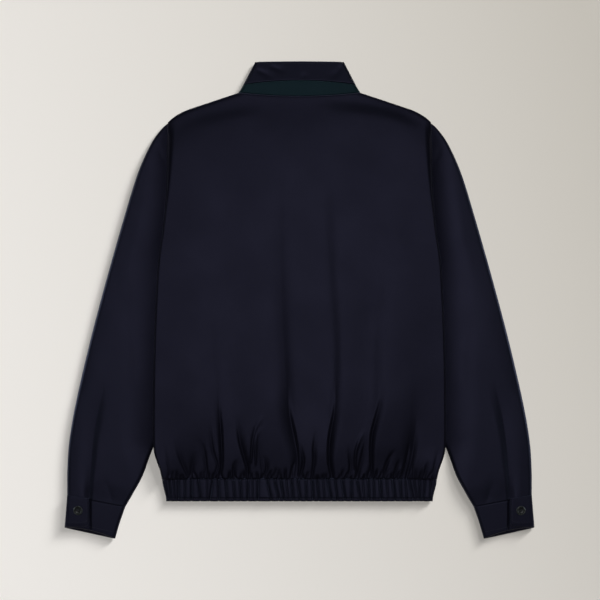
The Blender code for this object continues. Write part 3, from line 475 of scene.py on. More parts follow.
def least_clearance(x, y):
    at_zip = ramp((ZIP_HALF_BAND - np.abs(x)) / ZIP_BLEND)
    at_slider = ramp((SLIDER_BAND - np.hypot(x, y - SLIDER_Y)) / SLIDER_BLEND)
    return np.maximum(lerp(LEAST_CLEARANCE, ZIP_CLEARANCE, at_zip), SLIDER_CLEARANCE * at_slider)


def puckers(count):
    """Small slanting folds, close together along the waistband's seam."""
    dice = random.Random(11)
    made = []
    for number in range(count):
        x = lerp(-214.0, 214.0, (number + dice.uniform(0.1, 0.9)) / count)
        length = dice.uniform(7.0, 22.0)
        lean = dice.uniform(-0.15, 0.75) if x > -60.0 else dice.uniform(-0.6, 0.5)
        bend = dice.uniform(-1.0, 1.0)
        widths = [1.1, dice.uniform(1.3, 2.4)]
        dice.shuffle(widths)
        made.append(Fold(dice.uniform(0.9, 2.1), *widths,
                         ((x, WAIST_SEAM_Y - 1.0),
                          (x + 0.5 * lean * length + bend, WAIST_SEAM_Y + 0.5 * length),
                          (x + lean * length, WAIST_SEAM_Y + length))))
    return made


def pleats(x, share):
    """Height factor of the shirring, 0 in a deep valley: share runs from the seam to the hem."""
    height = np.ones_like(x)
    for seam_x, hem_x, depth in PLEAT_VALLEYS:
        distance = np.abs(x - lerp(seam_x, hem_x, ramp(share)))
        valley = 0.85 * np.exp(-distance / 0.95) + 0.15 * np.exp(-(distance / 4.0) ** 1.5)
        height = height - depth * valley
    return np.clip(height, -0.15, 1.0)


def back_neck_y(x):
    return lerp(NECK_BACK_Y, NECK_SIDE_Y, (np.abs(x) / NECK_SIDE_X) ** 2)


def front_neck_y(x):
    return lerp(NECK_FRONT_Y, NECK_SIDE_Y, unit(np.abs(x) / NECK_SIDE_X) ** 2.3)


# ---------------------------------------------------------------- pieces
def coordinates(mesh):
    places = np.empty(3 * len(mesh.vertices))
    mesh.vertices.foreach_get("co", places)
    return places.reshape(-1, 3)


def dress(piece, look, body="jacket"):
    """A finished piece gets its material and rides on its body."""
    piece.data.materials.clear()
    piece.data.materials.append(look)
    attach(piece, body)
    return piece


def new_piece(name, bm):
    mesh = bpy.data.meshes.new(name)
    bm.to_mesh(mesh)
    bm.free()
    mesh.shade_smooth()
    piece = bpy.data.objects.new(name, mesh)
    bpy.context.scene.collection.objects.link(piece)
    return piece


def cloth_piece(name, across, up, place, look, flip=False, closed=False,
                thickness=None):
    """A sheet from a grid. place(a, b) gives its outer side (x, y, z) and its cut (u, v)."""
    across, up = np.asarray(across, float), np.asarray(up, float)
    bm = bmesh.new()
    bm.loops.layers.uv.new("cut")
    bmesh.ops.create_grid(bm, x_segments=len(across) - 1, y_segments=len(up) - 1, size=0.5)
    if flip:
        bmesh.ops.reverse_faces(bm, faces=bm.faces)
    piece = new_piece(name, bm)
    mesh = piece.data
    flat = coordinates(mesh)
    a = across[np.rint((flat[:, 0] + 0.5) * (len(across) - 1)).astype(int)]
    b = up[np.rint((flat[:, 1] + 0.5) * (len(up) - 1)).astype(int)]
    x, y, z, u, v = place(a, b)
    mesh.vertices.foreach_set("co", (np.column_stack([x, y, z]) * MM).ravel())
    corners = np.empty(len(mesh.loops), np.int32)
    mesh.loops.foreach_get("vertex_index", corners)
    cut = np.column_stack([u[corners], v[corners]]) * MM
    mesh.uv_layers["cut"].uv.foreach_set("vector", cut.ravel())
    mesh.update()
    if closed:
        bm = bmesh.new()
        bm.from_mesh(mesh)
        bmesh.ops.remove_doubles(bm, verts=bm.verts, dist=0.00001)
        bm.to_mesh(mesh)
        bm.free()
    shell = piece.modifiers.new("thickness", 'SOLIDIFY')
    shell.thickness = thickness or bpy.context.scene.jacket_cloth.thickness
    shell.offset = -1.0
    return dress(piece, look)


def fold_steps(reach, count=6):
    """Distances from a fold's edge that draw its rounding evenly."""
    return [reach * (1.0 - math.cos(0.5 * math.pi * n / count)) for n in range(count + 1)]


def spaced(stops):
    """Values along a path of (value, step after it)."""
    made = [stops[0][0]]
    for (start, step), (end, _) in zip(stops, stops[1:]):
        count = max(1, round(abs(end - start) / step))
        made += [lerp(start, end, n / count) for n in range(1, count + 1)]
    return made


def straight(start, end):
    """A straight edge between two points."""
    return lambda s: (lerp(start[0], end[0], s), lerp(start[1], end[1], s))


def coons(bottom, top, left, right, u, v):
    """Patch between four edges; each edge gives (x, y) for an array of shares."""
    zero, one = np.zeros_like(u), np.ones_like(u)
    made = []
    for axis in (0, 1):
        edge = (lerp(bottom(u)[axis], top(u)[axis], v) + lerp(left(v)[axis], right(v)[axis], u))
        corner = lerp(lerp(bottom(zero)[axis], bottom(one)[axis], u),
                      lerp(top(zero)[axis], top(one)[axis], u), v)
        made.append(edge - corner)
    return made


# ---------------------------------------------------------------- body
def back_top_edge(u):
    x = lerp(-SHOULDER_TIP_X, SHOULDER_TIP_X, u)
    at_neck = np.abs(x) < NECK_SIDE_X
    return x, np.where(at_neck, back_neck_y(x) - 0.5 * SEAM_GAP, value_at(SHOULDER_LINE, np.abs(x)))


def back_place(gathers):
    """Place of the back panel's outer side, with its gathers."""
    small = puckers(bpy.context.scene.jacket_sewing.puckers)

    def place(u, height):
        v = (height - WAIST_SEAM_Y) / (SHOULDER_TIP_Y - WAIST_SEAM_Y)

        def side(sign):
            return lambda s: (sign * body_half_width(lerp(WAIST_SEAM_Y, SHOULDER_TIP_Y, s)),
                              lerp(WAIST_SEAM_Y, SHOULDER_TIP_Y, s))
        x, y = coons(lambda s: (lerp(-1, 1, s) * body_half_width(WAIST_SEAM_Y),
                                np.full_like(s, WAIST_SEAM_Y)),
                     back_top_edge, side(-1.0), side(1.0), u, v)
        above = y - WAIST_SEAM_Y
        folds = relief(GATHERS + small, x, y)
        bands = broad_steps(BROAD_STEPS, x, y) + soft_steps(SHOULDER_STEPS, x, y)
        below = back_top_edge(x / (2.0 * SHOULDER_TIP_X) + 0.5)[1] - y
        fall = SHOULDER_FALL * (1.0 - ramp(below / SHOULDER_FALL_REACH))
        level = clearance(x, y) + SEAM_PUFF * roundness(above, SEAM_ROLL) - bands - fall
        under = even_underside(x, y)
        least = least_clearance(x, y) - (under - front_underside(x, y))
        room = np.maximum(level - least, 0.3)
        folds = gathers * folds * calm_side(x)
        gap = level - folds / (1.0 + np.maximum(folds / room, 0.0) ** 4) ** 0.25
        middle = under + CLOTH + 0.5 * clearance(x, y)
        top = under + 2.0 * CLOTH + gap
        from_side = np.minimum(u, 1.0 - u) * 2.0 * body_half_width(height)
        side_reach = lerp(SIDE_FOLD_REACH, SIDE_FOLD_TOP_REACH,
                          ramp((y - ARMHOLE_ROUND_Y) / ARMHOLE_ROUND_RISE))
        side_round = roundness(from_side, side_reach)
        neck = ramp((NECK_SIDE_X + 2.0 - np.abs(x)) / 10.0)
        top_round = lerp(roundness(SHOULDER_TIP_Y - height, FOLD_REACH), 1.0, neck)
        armhole = (ramp((height - ARMHOLE_LOW_Y) / ARMHOLE_BLEND)
                   * ramp((SHOULDER_TIP_Y - 8.0 - height) / 16.0))
        edge_z = lerp(middle + 0.5 * SEAM_GAP, under, armhole)
        z = lerp(edge_z, top, np.minimum(side_round, top_round))
        turned = roll(above, 1.6, 0.3) + neck * roll(SHOULDER_TIP_Y - height, 3.0)
        return x, y, z - 0.9 * turned, x, y

    return place


def make_back(looks):
    near = [d / (2.0 * SHOULDER_TIP_X) for d in fold_steps(SIDE_FOLD_REACH)]
    neck = 0.5 - 0.5 * NECK_SIDE_X / SHOULDER_TIP_X
    across = near + spaced([(near[-1], 0.0021), (neck, 0.0021), (1.0 - neck, 0.0021),
                            (1.0 - near[-1], 1.0)])[1:-1] + [1.0 - n for n in reversed(near)]
    up = spaced([(WAIST_SEAM_Y, 0.8), (WAIST_SEAM_Y + 3.0, 1.9), (WAIST_SEAM_Y + 46.0, 3.4),
                 (WAIST_SEAM_Y + 120.0, 12.0), (SHOULDER_TIP_Y - 40.0, 5.0),
                 (SHOULDER_TIP_Y - FOLD_REACH, 1.0)])
    up += [SHOULDER_TIP_Y - d for d in reversed(fold_steps(FOLD_REACH))][1:]
    piece = cloth_piece("back_cloth", across, up,
                        back_place(bpy.context.scene.jacket_sewing.gathers), looks["navy"])
    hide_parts("back")


SIDE_SHARE = 0.64
NECK_SHARE = 0.48


def front_side(v):
    y = lerp(WAIST_SEAM_Y, FRONT_ARMHOLE[0][1], unit(v / SIDE_SHARE))
    hole_x, hole_y = along(FRONT_ARMHOLE, (v - SIDE_SHARE) / (1.0 - SIDE_SHARE))
    below = v <= SIDE_SHARE
    return np.where(below, body_half_width(y), hole_x), np.where(below, y, hole_y)


def front_top_edge(u):
    neck_x = lerp(ZIP_OPENING, NECK_SIDE_X,
                  np.sin(0.5 * math.pi * unit(u / NECK_SHARE)))
    shoulder_x = lerp(SHOULDER_LINE[0][0], FRONT_ARMHOLE[-1][0],
                      unit((u - NECK_SHARE) / (1.0 - NECK_SHARE)))
    at_neck = u <= NECK_SHARE
    return (np.where(at_neck, neck_x, shoulder_x),
            np.where(at_neck, front_neck_y(neck_x) - NECK_SEAM_GAP,
                     value_at(SHOULDER_LINE, shoulder_x)))


def front_place(side):
    length = SHOULDER_TIP_Y - WAIST_SEAM_Y

    def place(u, v):
        corner = (ZIP_OPENING, WAIST_SEAM_Y)
        x, y = coons(straight(corner, (body_half_width(WAIST_SEAM_Y), WAIST_SEAM_Y)),
                     front_top_edge,
                     straight(corner, (ZIP_OPENING, front_top_edge(np.zeros(1))[1][0])),
                     front_side, u, v)
        width = front_side(v)[0] - ZIP_OPENING
        open_edge = ramp((v - SIDE_SHARE + 0.04) / 0.04)
        side_round = lerp(roundness((1.0 - u) * width, FOLD_REACH), 1.0, open_edge)
        neck = ramp((NECK_SIDE_X + 2.0 - x) / 10.0)
        top_round = lerp(roundness((1.0 - v) * length, FOLD_REACH), 1.0, neck)
        low = front_underside(x, y)
        edge_z = low + CLOTH + 0.5 * clearance(x, y) - 0.5 * SEAM_GAP
        z = lerp(edge_z, low, np.minimum(side_round, top_round))
        return side * x, y, z, side * x, y

    return place


def make_front(side, word, looks):
    near = [d / (SHOULDER_TIP_X - ZIP_OPENING) for d in fold_steps(FOLD_REACH)]
    across = spaced([(0.0, 0.018), (1.0 - near[-1], 1.0)])[:-1] + [1.0 - n for n in reversed(near)]
    top = [d / (SHOULDER_TIP_Y - WAIST_SEAM_Y) for d in fold_steps(FOLD_REACH)]
    up = spaced([(0.0, 0.012), (1.0 - top[-1], 1.0)])[:-1] + [1.0 - n for n in reversed(top)]
    piece = cloth_piece(f"front_cloth_{word}", across, up, front_place(side), looks["navy"],
                        flip=side > 0.0)
    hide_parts(f"front_{word}")


# ---------------------------------------------------------------- sleeves and cuffs
BODY_EDGE = 3.0               # beside the body's side fold
SLEEVE_OPENING = 54.0         # width over which a sleeve rises beside the body
SLEEVE_HEAD_OPENING = 45.0    # the same at its head
SLEEVE_HEAD_Y = 10.0
SLEEVE_HEAD_RISE = 110.0
GROOVE_DEPTH = 1.7            # beside the tab's inner edge
GROOVE_FROM_EDGE = 1.9
GROOVE_HALF_WIDTH = 1.3
OUTER_THINNING = 0.14         # a tube is thinner along its outer fold
OUTER_REACH = 46.0
SEAM_ROLL_DEPTH = 0.9         # how a tube's end rolls down to its seam
SEAM_ROLL_REACH = 1.6
LIP_RISE = 2.6                # the lower layer rises a little before the cuff's mouth
LIP_REACH = 5.5
LIP_FADE = 16.0
TUCK_SINK = 1.2               # how far a tucked end lies below the end above it


def ring_table(upper_columns, lower_columns):
    """Ring points as (fixed distance, share of the width, layer): outer fold first."""
    near = fold_steps(TUBE_REACH)
    upper, lower = (
        [(TUBE_REACH * (1.0 - 2.0 * n / columns), n / columns, layer) for n in range(1, columns)]
        for columns, layer in ((upper_columns, 1.0), (lower_columns, -1.0)))
    return np.array([(d, 0.0, 1.0) for d in near] + upper
                    + [(-d, 1.0, 1.0) for d in reversed(near)]
                    + [(-d, 1.0, -1.0) for d in near[1:]] + lower[::-1]
                    + [(d, 0.0, -1.0) for d in reversed(near)])


def sleeve_top(x, y):
    """A sleeve is pressed under the body and lies open beside it."""
    outside = np.abs(x) - body_half_width(np.maximum(y, WAIST_SEAM_Y)) - BODY_EDGE
    head = ramp((y - SLEEVE_HEAD_Y) / SLEEVE_HEAD_RISE)
    away = unit((outside + 4.0) / lerp(SLEEVE_OPENING, SLEEVE_HEAD_OPENING, head))
    lifted = 1.0 - (1.0 - away) ** 2
    lifted = np.where(y > SHOULDER_TIP_Y - 2.0, 0.0, lifted)
    folds = relief(SLEEVE_CREASES, x, y, 0.6)
    pressed = lerp(1.5, SLEEVE_PRESSED, ramp(-(outside + 8.0) / 20.0))
    return lerp(pressed, SLEEVE_HEIGHT + SLEEVE_PUFF - folds, lifted)


def tab_groove(x):
    """Dip of the cloth beside the cuff tab's inner edge."""
    return GROOVE_DEPTH * np.exp(-((x - TAB_EDGE_X + GROOVE_FROM_EDGE) / GROOVE_HALF_WIDTH) ** 2)


def cuff_top(x, y):
    return CUFF_HEIGHT - tab_groove(x)


def sleeve_end_shift(x):
    """The sleeve's end sinks to the cuff's height and, beside it, to its tab's."""
    end = lerp(CUFF_HEIGHT + 0.4, TAB_HIGH.z - 0.1, ramp((x - TAB_EDGE_X + 3.0) / 14.0))
    return end - SLEEVE_HEIGHT - SLEEVE_PUFF


def ring_place(ring, outer, inner, top_at, side, length_mm, mouth=0.0, end_shift=None):
    """Place of a flattened tube's outer side. The mouth is how much shorter its upper layer is;
    a negative share runs under the neighbouring tube."""
    def place(index, share):
        fixed, part, layer = (ring[index.astype(int), n] for n in range(3))
        start_x, start_y = along(outer, share)
        end_x, end_y = along(inner, share)
        width = np.hypot(end_x - start_x, end_y - start_y)
        run_x, run_y = (end_x - start_x) / width, (end_y - start_y) / width
        offset = fixed + part * width
        x, y = start_x + run_x * offset, start_y + run_y * offset
        rounded = roundness(np.minimum(offset, width - offset), TUBE_REACH)
        crown = 1.0 - OUTER_THINNING * (1.0 - unit(offset / OUTER_REACH)) ** 2
        to_end = length_mm * (1.0 - share)
        top = top_at(x, y)
        if end_shift:
            top = top + end_shift(x) * ramp(1.0 - to_end / SLEEVE_END_SINK)
        top = top * crown
        z = 0.5 * top + layer * 0.5 * top * rounded
        if mouth:
            beyond = np.maximum(-share, 0.0) * length_mm
            tucked = unit(beyond)
            narrow = tucked * (1.0 - 2.0 * offset / width)
            arch = np.sin(np.pi * unit(offset / width)) ** 0.8
            back = beyond + np.where(layer > 0.0, mouth * arch * ramp(share * 2.0 - 1.0), 0.0)
            x, y = x + run_x * narrow + run_y * back, y + run_y * narrow - run_x * back
            lip = (LIP_RISE * unit(to_end / LIP_REACH)
                   * (1.0 - ramp((to_end - LIP_REACH) / LIP_FADE)))
            upper_down = roll(to_end, SEAM_ROLL_REACH, SEAM_ROLL_DEPTH) + TUCK_SINK * tucked
            z = z - rounded * np.where(layer > 0.0, upper_down, -lip - TUCK_SINK * tucked)
        else:
            down = (roll(length_mm * share, SEAM_ROLL_REACH, SEAM_ROLL_DEPTH)
                    + roll(to_end, 1.2, 0.35))
            z = z - np.where(layer > 0.0, down * rounded, 0.0)
        around = np.where(layer > 0.0, offset, 2.0 * width - offset)
        return side * x, y, z, side * around, length_mm * share

    return place


def make_sleeve(side, word, looks):
    ring = ring_table(64, 16)
    up = spaced([(0.0, 0.006), (0.12, 0.010), (0.86, 0.006), (0.97, 0.0025), (0.996, 0.001),
                 (1.0, 1.0)])
    place = ring_place(ring, SLEEVE_OUTER, SLEEVE_INNER, sleeve_top, side, SLEEVE_LENGTH,
                       end_shift=sleeve_end_shift)
    piece = cloth_piece(f"sleeve_cloth_{word}", np.arange(len(ring)), up, place, looks["navy"],
                        flip=side < 0.0, closed=True)
    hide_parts(f"sleeve_{word}")


def make_cuff(side, word, looks):
    ring = ring_table(84, 16)
    up = spaced([(-TUCK / CUFF_LENGTH, 0.02), (0.0, 0.05), (0.80, 0.02), (1.0, 1.0)])
    place = ring_place(ring, CUFF_OUTER, CUFF_INNER, cuff_top, side, CUFF_LENGTH,
                       mouth=CUFF_MOUTH)
    piece = cloth_piece(f"cuff_cloth_{word}", np.arange(len(ring)), up, place, looks["navy"],
                        flip=side < 0.0, closed=True, thickness=CUFF_CLOTH)
    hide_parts(f"cuff_{word}")
    return piece


TAB_TOP_EDGE = [(371.8, -312.4), (353.0, -315.1), (TAB_EDGE_X, -317.4)]
TAB_BOTTOM_EDGE = [
    (374.8, -363.2), (352.0, -363.2), (344.0, -362.6), (339.4, -360.8), (TAB_EDGE_X, -356.6),
]
TAB_STITCH_X = TAB_EDGE_X + 2.2
TAB_STITCHES = [
    (371.6, -355.2), (TAB_STITCH_X + 3.0, -355.2), (TAB_STITCH_X, -352.0),
    (TAB_STITCH_X, -320.0),
]


def make_tab(side, word, looks):
    """The overlapping end of the cuff, with a rounded corner."""
    def place(u, v):
        x, y = coons(lambda s: along(TAB_BOTTOM_EDGE, s), lambda s: along(TAB_TOP_EDGE, s),
                     straight(TAB_BOTTOM_EDGE[0], TAB_TOP_EDGE[0]),
                     straight(TAB_BOTTOM_EDGE[-1], TAB_TOP_EDGE[-1]), u, v)
        edge = np.minimum(np.minimum(u, 1.0 - u) * 38.0, np.minimum(46.0 * v, 180.0 * (1.0 - v)))
        z = lerp(TAB_LOW.z + 0.7, TAB_HIGH.z, roundness(edge, 1.6))
        groove = np.exp(-((edge - 2.6) / 0.8) ** 2)
        return side * x, y, z - 0.25 * groove, side * x, y

    steps = [0.0, 0.006, 0.02, 0.045, 0.06, 0.075, 0.09, 0.11]
    across = steps + spaced([(0.14, 0.04), (0.86, 1.0)]) + [1.0 - s for s in reversed(steps)]
    piece = cloth_piece(f"cuff_tab_cloth_{word}", across, across, place, looks["navy"],
                        flip=side > 0.0, thickness=TAB_CLOTH)
    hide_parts(f"cuff_tab_{word}")
    return piece


# ---------------------------------------------------------------- waistband and collar
def band_path(width, reach, back_step, front_step):
    """Path round a closed band as (share of the half width, layer): front, back, front."""
    near = [1.0 - d / width for d in fold_steps(reach)]
    front = spaced([(ZIP_OPENING / width, front_step / width), (near[-1], 1.0)])[:-1]
    front += list(reversed(near))[:-1]
    back = near + spaced([(near[-1], back_step / width), (-near[-1], 1.0)])[1:-1]
    back += [-n for n in reversed(near)]
    rows = [(share, -1.0) for share in front] + [(share, 1.0) for share in back]
    rows += [(-share, -1.0) for share in reversed(front)]
    return np.array(rows)


def around_band(x, half_width, upper):
    """Distance along a closed band from its front, over the fold and across the back."""
    return np.where(upper, 2.0 * half_width - x, np.where(x > 0.0, x, 4.0 * half_width + x))


def make_waistband(looks):
    path = band_path(HEM_HALF_WIDTH, FOLD_REACH, 0.95, 6.0)
    height = 2.0 * CLOTH + BODY_CLEARANCE
    pleat_height = bpy.context.scene.jacket_sewing.pleat / MM
    depth = BAND_TOP_Y - HEM_Y

    def place(index, share):
        part, layer = (path[index.astype(int), n] for n in range(2))
        width = lerp(body_half_width(WAIST_SEAM_Y), HEM_HALF_WIDTH, ramp(share))
        x = part * width
        y = lerp(BAND_TOP_Y, HEM_Y, share)
        tucked = unit(-share * depth / TUCK)
        rounded = roundness(width - np.abs(x), FOLD_REACH)
        pleat = pleats(x, share)
        upper = layer > 0.0
        down = depth * share
        seam, hem = roll(down, 1.4), roll(depth - down, 2.2)
        stitched = np.exp(-(depth - down - HEM_STITCH) ** 2)
        swell = pleat_height * pleat * (1.0 - 0.15 * stitched) - 0.2 * stitched
        top = height - 1.4 + swell - 0.3 * seam - 1.7 * hem
        y = y + np.where(upper, 0.5 * (1.0 - pleat) * ramp(share * 3.0 - 2.0), 0.0)
        middle = 0.5 * height
        z = np.where(upper, middle + (top - TUCK_SINK * tucked - middle) * rounded,
                     middle - (middle - 0.9 * (seam + hem)) * rounded)
        return x, y, z, around_band(x, width, upper), depth - down

    up = spaced([(-TUCK / depth, TUCK / depth), (0.0, 0.014), (0.08, 0.05), (0.78, 0.018),
                 (0.94, 0.01), (1.0, 1.0)])
    piece = cloth_piece("waistband_cloth", np.arange(len(path)), up, place, looks["navy"],
                        thickness=BAND_CLOTH)
    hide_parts("waistband")
    return piece


Level = namedtuple("Level", "apex_x apex_y back_y front_y back_power front_power")
STAND_SEAM = Level(97.0, 333.0, NECK_BACK_Y, NECK_FRONT_Y, 2.0, 2.3)
STAND_TOP = Level(90.0, 344.6, 351.4, 274.0, 2.0, 2.0)
LEAF_TOP = Level(70.8, 381.6, COLLAR_TOP_Y, 314.0, 2.0, 2.0)
NECK_TUCK = 2.0               # the stand carries on under the back, and rises to meet it
NECK_RISE = 1.7
LEAF_STITCHES = [
    (-84.6, 347.4), (-66.2, COLLAR_TOP_Y - 3.8), (66.2, COLLAR_TOP_Y - 3.8), (84.6, 347.4),
]


def collar_place(path, low, high, low_gap, high_gap, length_mm, turn_low, turn_high,
                 lean_low, lean_high):
    """Place of a band round the neck, between two levels."""
    low, high = np.array(low), np.array(high)

    def place(index, share):
        part, layer = (path[index.astype(int), n] for n in range(2))
        apex_x, apex_y, back_y, front_y, back_power, front_power = (
            lerp(low[n], high[n], share) for n in range(6))
        x = part * apex_x
        rounded = roundness(apex_x - np.abs(x), TUBE_REACH)
        reach = np.abs(part)
        back = lerp(back_y, apex_y, reach ** back_power)
        front = lerp(front_y, apex_y, reach ** front_power)
        y = lerp(front, back, 0.5 + 0.5 * layer * rounded)
        y = y + low_gap * (1.0 - share) - high_gap * share
        middle = 0.5 * COLLAR_HEIGHT
        upper = layer > 0.0
        turned = (turn_low * roll(length_mm * share, 2.0)
                  + turn_high * roll(length_mm * np.abs(1.0 - share), 2.0))
        folds = np.where(upper, relief(COLLAR_CREASES, x, y), 0.0)
        lean = lerp(lean_low, lean_high, share) + 1.6 * np.clip((share - 1.0) * length_mm, 0, 1)
        z = middle + layer * (middle - np.where(upper, turned + lean, 0.4 * turned)) * rounded
        tucked = np.clip(-share * length_mm, 0.0, NECK_TUCK)
        z = z - folds + NECK_RISE * tucked * np.where(upper, rounded, 0.0)
        return x, y, z, around_band(x, apex_x, upper), length_mm * share

    return place


def make_collar(looks):
    """The stand and the leaf. Returns the leaf."""
    path = band_path(LEAF_TOP.apex_x, TUBE_REACH, 2.2, 3.0)
    up = spaced([(0.0, 0.02), (0.1, 0.07), (0.88, 0.02), (1.0, 1.0)])
    below = [-NECK_TUCK / STAND_LENGTH, -0.5 * NECK_TUCK / STAND_LENGTH]
    under = [1.0 + 1.2 / STAND_LENGTH, 1.0 + TUCK / STAND_LENGTH]
    stand = collar_place(path, STAND_SEAM, STAND_TOP, -0.2, 0.2, STAND_LENGTH, 1.0, 0.9, 0.7, 0.0)
    leaf = collar_place(path, STAND_TOP, LEAF_TOP, 0.2, 0.0, LEAF_LENGTH, 1.1, 1.2, 0.2, 2.5)
    for name, rows, place, look, flat in (
            ("collar_stand", below + up + under, stand, "green", (0.40, 0.030)),
            ("collar", up, leaf, "navy", (0.37, 0.036))):
        piece = cloth_piece(f"{name}_cloth", np.arange(len(path)), rows, place, looks[look],
                            flip=True, thickness=BAND_CLOTH)
        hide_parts(name)
        0.975 * flat[0] * flat[1]
    return piece


# ---------------------------------------------------------------- buttons
def add_rod(bm, points, radius):
    """A thread through points: short cylinders with balls at the bends."""
    for start, end in zip(points, points[1:]):
        turn = (end - start).to_track_quat('Z', 'Y').to_matrix().to_4x4()
        bmesh.ops.create_cone(bm, cap_ends=True, segments=8, radius1=radius, radius2=radius,
                              depth=(end - start).length,
                              matrix=Matrix.Translation((start + end) / 2) @ turn)
    for point in points:
        bmesh.ops.create_icosphere(bm, subdivisions=1, radius=radius,
                                   matrix=Matrix.Translation(point))


BUTTON_PROFILE = [            # share of the radius, share of the thickness
    (0.0, 0.06), (0.55, 0.02), (0.80, 0.06), (0.95, 0.24), (1.0, 0.50), (0.985, 0.74),
    (0.93, 0.92), (0.85, 1.0), (0.76, 0.985), (0.68, 0.88), (0.60, 0.74), (0.50, 0.66),
    (0.30, 0.62), (0.0, 0.62),
]
HOLE_FROM_CENTRE = 2.0
HOLE_RADIUS = 0.95
BUTTON_TURN = 12.0            # degrees
BUTTON_THREAD = 0.24
THREAD_APART = 0.28


def make_button(side, word, looks):
    """A turned four-hole button with a rim, and the thread that holds it."""
    centre = 0.5 * (BUTTON_LOW + BUTTON_HIGH)
    centre.x *= side
    radius = 0.5 * (BUTTON_HIGH.x - BUTTON_LOW.x)
    thick = BUTTON_HIGH.z - BUTTON_LOW.z
    bm = bmesh.new()
    verts = [bm.verts.new((r * radius, 0.0, (h - 0.5) * thick)) for r, h in BUTTON_PROFILE]
    edges = [bm.edges.new(pair) for pair in zip(verts, verts[1:])]
    bmesh.ops.spin(bm, geom=verts + edges, cent=(0, 0, 0), axis=(0, 0, 1), angle=2.0 * math.pi,
                   steps=48, use_merge=True)
    bmesh.ops.remove_doubles(bm, verts=bm.verts, dist=0.005)
    bmesh.ops.recalc_face_normals(bm, faces=bm.faces)
    button = new_piece(f"button_turned_{word}", bm)
    holes = bmesh.new()
    places = []
    for quarter in range(4):
        angle = math.radians(45.0 + 90.0 * quarter)
        places.append(HOLE_FROM_CENTRE * Vector((math.cos(angle), math.sin(angle), 0.0)))
        bmesh.ops.create_cone(holes, cap_ends=True, segments=20, radius1=HOLE_RADIUS,
                              radius2=HOLE_RADIUS, depth=3.0 * thick,
                              matrix=Matrix.Translation(places[-1]))
    cutter = new_piece("button_holes", holes)
    cut = button.modifiers.new("holes", 'BOOLEAN')
    cut.operation, cut.solver, cut.object = 'DIFFERENCE', 'EXACT', cutter
    ready = button.evaluated_get(bpy.context.evaluated_depsgraph_get())
    button.data = bpy.data.meshes.new_from_object(ready)
    button.modifiers.clear()
    bpy.data.objects.remove(cutter)
    turn = Matrix.Rotation(math.radians(BUTTON_TURN * side), 4, 'Z')
    home = Matrix.Scale(MM, 4) @ Matrix.Translation(centre) @ turn
    button.data.transform(home)
    button.data.shade_smooth()
    button.data.set_sharp_from_angle(angle=math.radians(40.0))
    dress(button, looks["button"])
    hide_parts(f"button_{word}")
    bm = bmesh.new()
    rise, sink = Vector((0, 0, 0.20 * thick)), Vector((0, 0, -0.45 * thick))
    for first, second in ((0, 3), (1, 2)):
        for shift in (-THREAD_APART, THREAD_APART):
            a, b = (places[n] + Vector((shift, 0, 0)) for n in (first, second))
            add_rod(bm, [a + sink, a + rise, b + rise, b + sink], BUTTON_THREAD)
    bmesh.ops.recalc_face_normals(bm, faces=bm.faces)
    thread = new_piece(f"button_thread_{word}", bm)
    thread.data.transform(home)
    dress(thread, looks["thread"])


# ---------------------------------------------------------------- sewing
def surface_under(piece, x, y):
    """Highest point and its normal on a piece, in millimetres, or None beside it."""
    from_above = Vector((x * MM, y * MM, 0.1))
    hit, place, normal, _ = piece.ray_cast(from_above, Vector((0, 0, -1)))
    return (place / MM, normal) if hit else None


def sew(name, piece, path, looks):
    """Topstitching: a thread drop at each stitch along a path of (x, y) on a piece."""
    sewing = bpy.context.scene.jacket_sewing
    pitch, width = sewing.stitch / MM, sewing.thread / MM
    size = Matrix.Diagonal((0.40 * pitch, 0.5 * width, 0.42 * width, 1.0))
    bpy.context.view_layer.update()
    bm = bmesh.new()
    knots = np.array(path, float)
    runs = np.linalg.norm(np.diff(knots, axis=0), axis=1)
    lengths = np.concatenate([[0.0], np.cumsum(runs)])
    count = int(lengths[-1] / pitch)
    for spot in np.linspace(0.5 * pitch, lengths[-1] - 0.5 * pitch, max(count, 2)):
        here, ahead = ([np.interp(s, lengths, knots[:, n]) for n in (0, 1)]
                       for s in (spot, spot + 0.2))
        found = surface_under(piece, *here)
        if found is None:
            continue
        place, normal = found
        run = Vector((ahead[0] - here[0], ahead[1] - here[1], 0.0))
        run = (run - normal * run.dot(normal)).normalized()
        turn = Matrix((run, normal.cross(run), normal)).transposed().to_4x4()
        home = Matrix.Translation(place + normal * 0.25 * width)
        bmesh.ops.create_icosphere(bm, subdivisions=1, radius=1.0, matrix=home @ turn @ size)
    bmesh.ops.scale(bm, verts=bm.verts, vec=(MM, MM, MM))
    bmesh.ops.recalc_face_normals(bm, faces=bm.faces)
    return dress(new_piece(name, bm), looks["thread"])


def cuff_line(share, start, end):
    """A line across a cuff at a share of its length, between two shares of its width."""
    a, b = (np.ravel(along(edge, np.array([share]))) for edge in (CUFF_OUTER, CUFF_INNER))
    return [lerp(a, b, t) for t in np.linspace(start, end, 40)]


# ---------------------------------------------------------------- zip
TOOTH_PITCH = 2.2
TOOTH_SIZE = (3.0, 1.15, 1.0)
TOOTH_X = 1.25
TEETH_START = 4.0             # from the tape's lower end
TEETH_ENDS = 5.7              # of the tape without teeth, in all


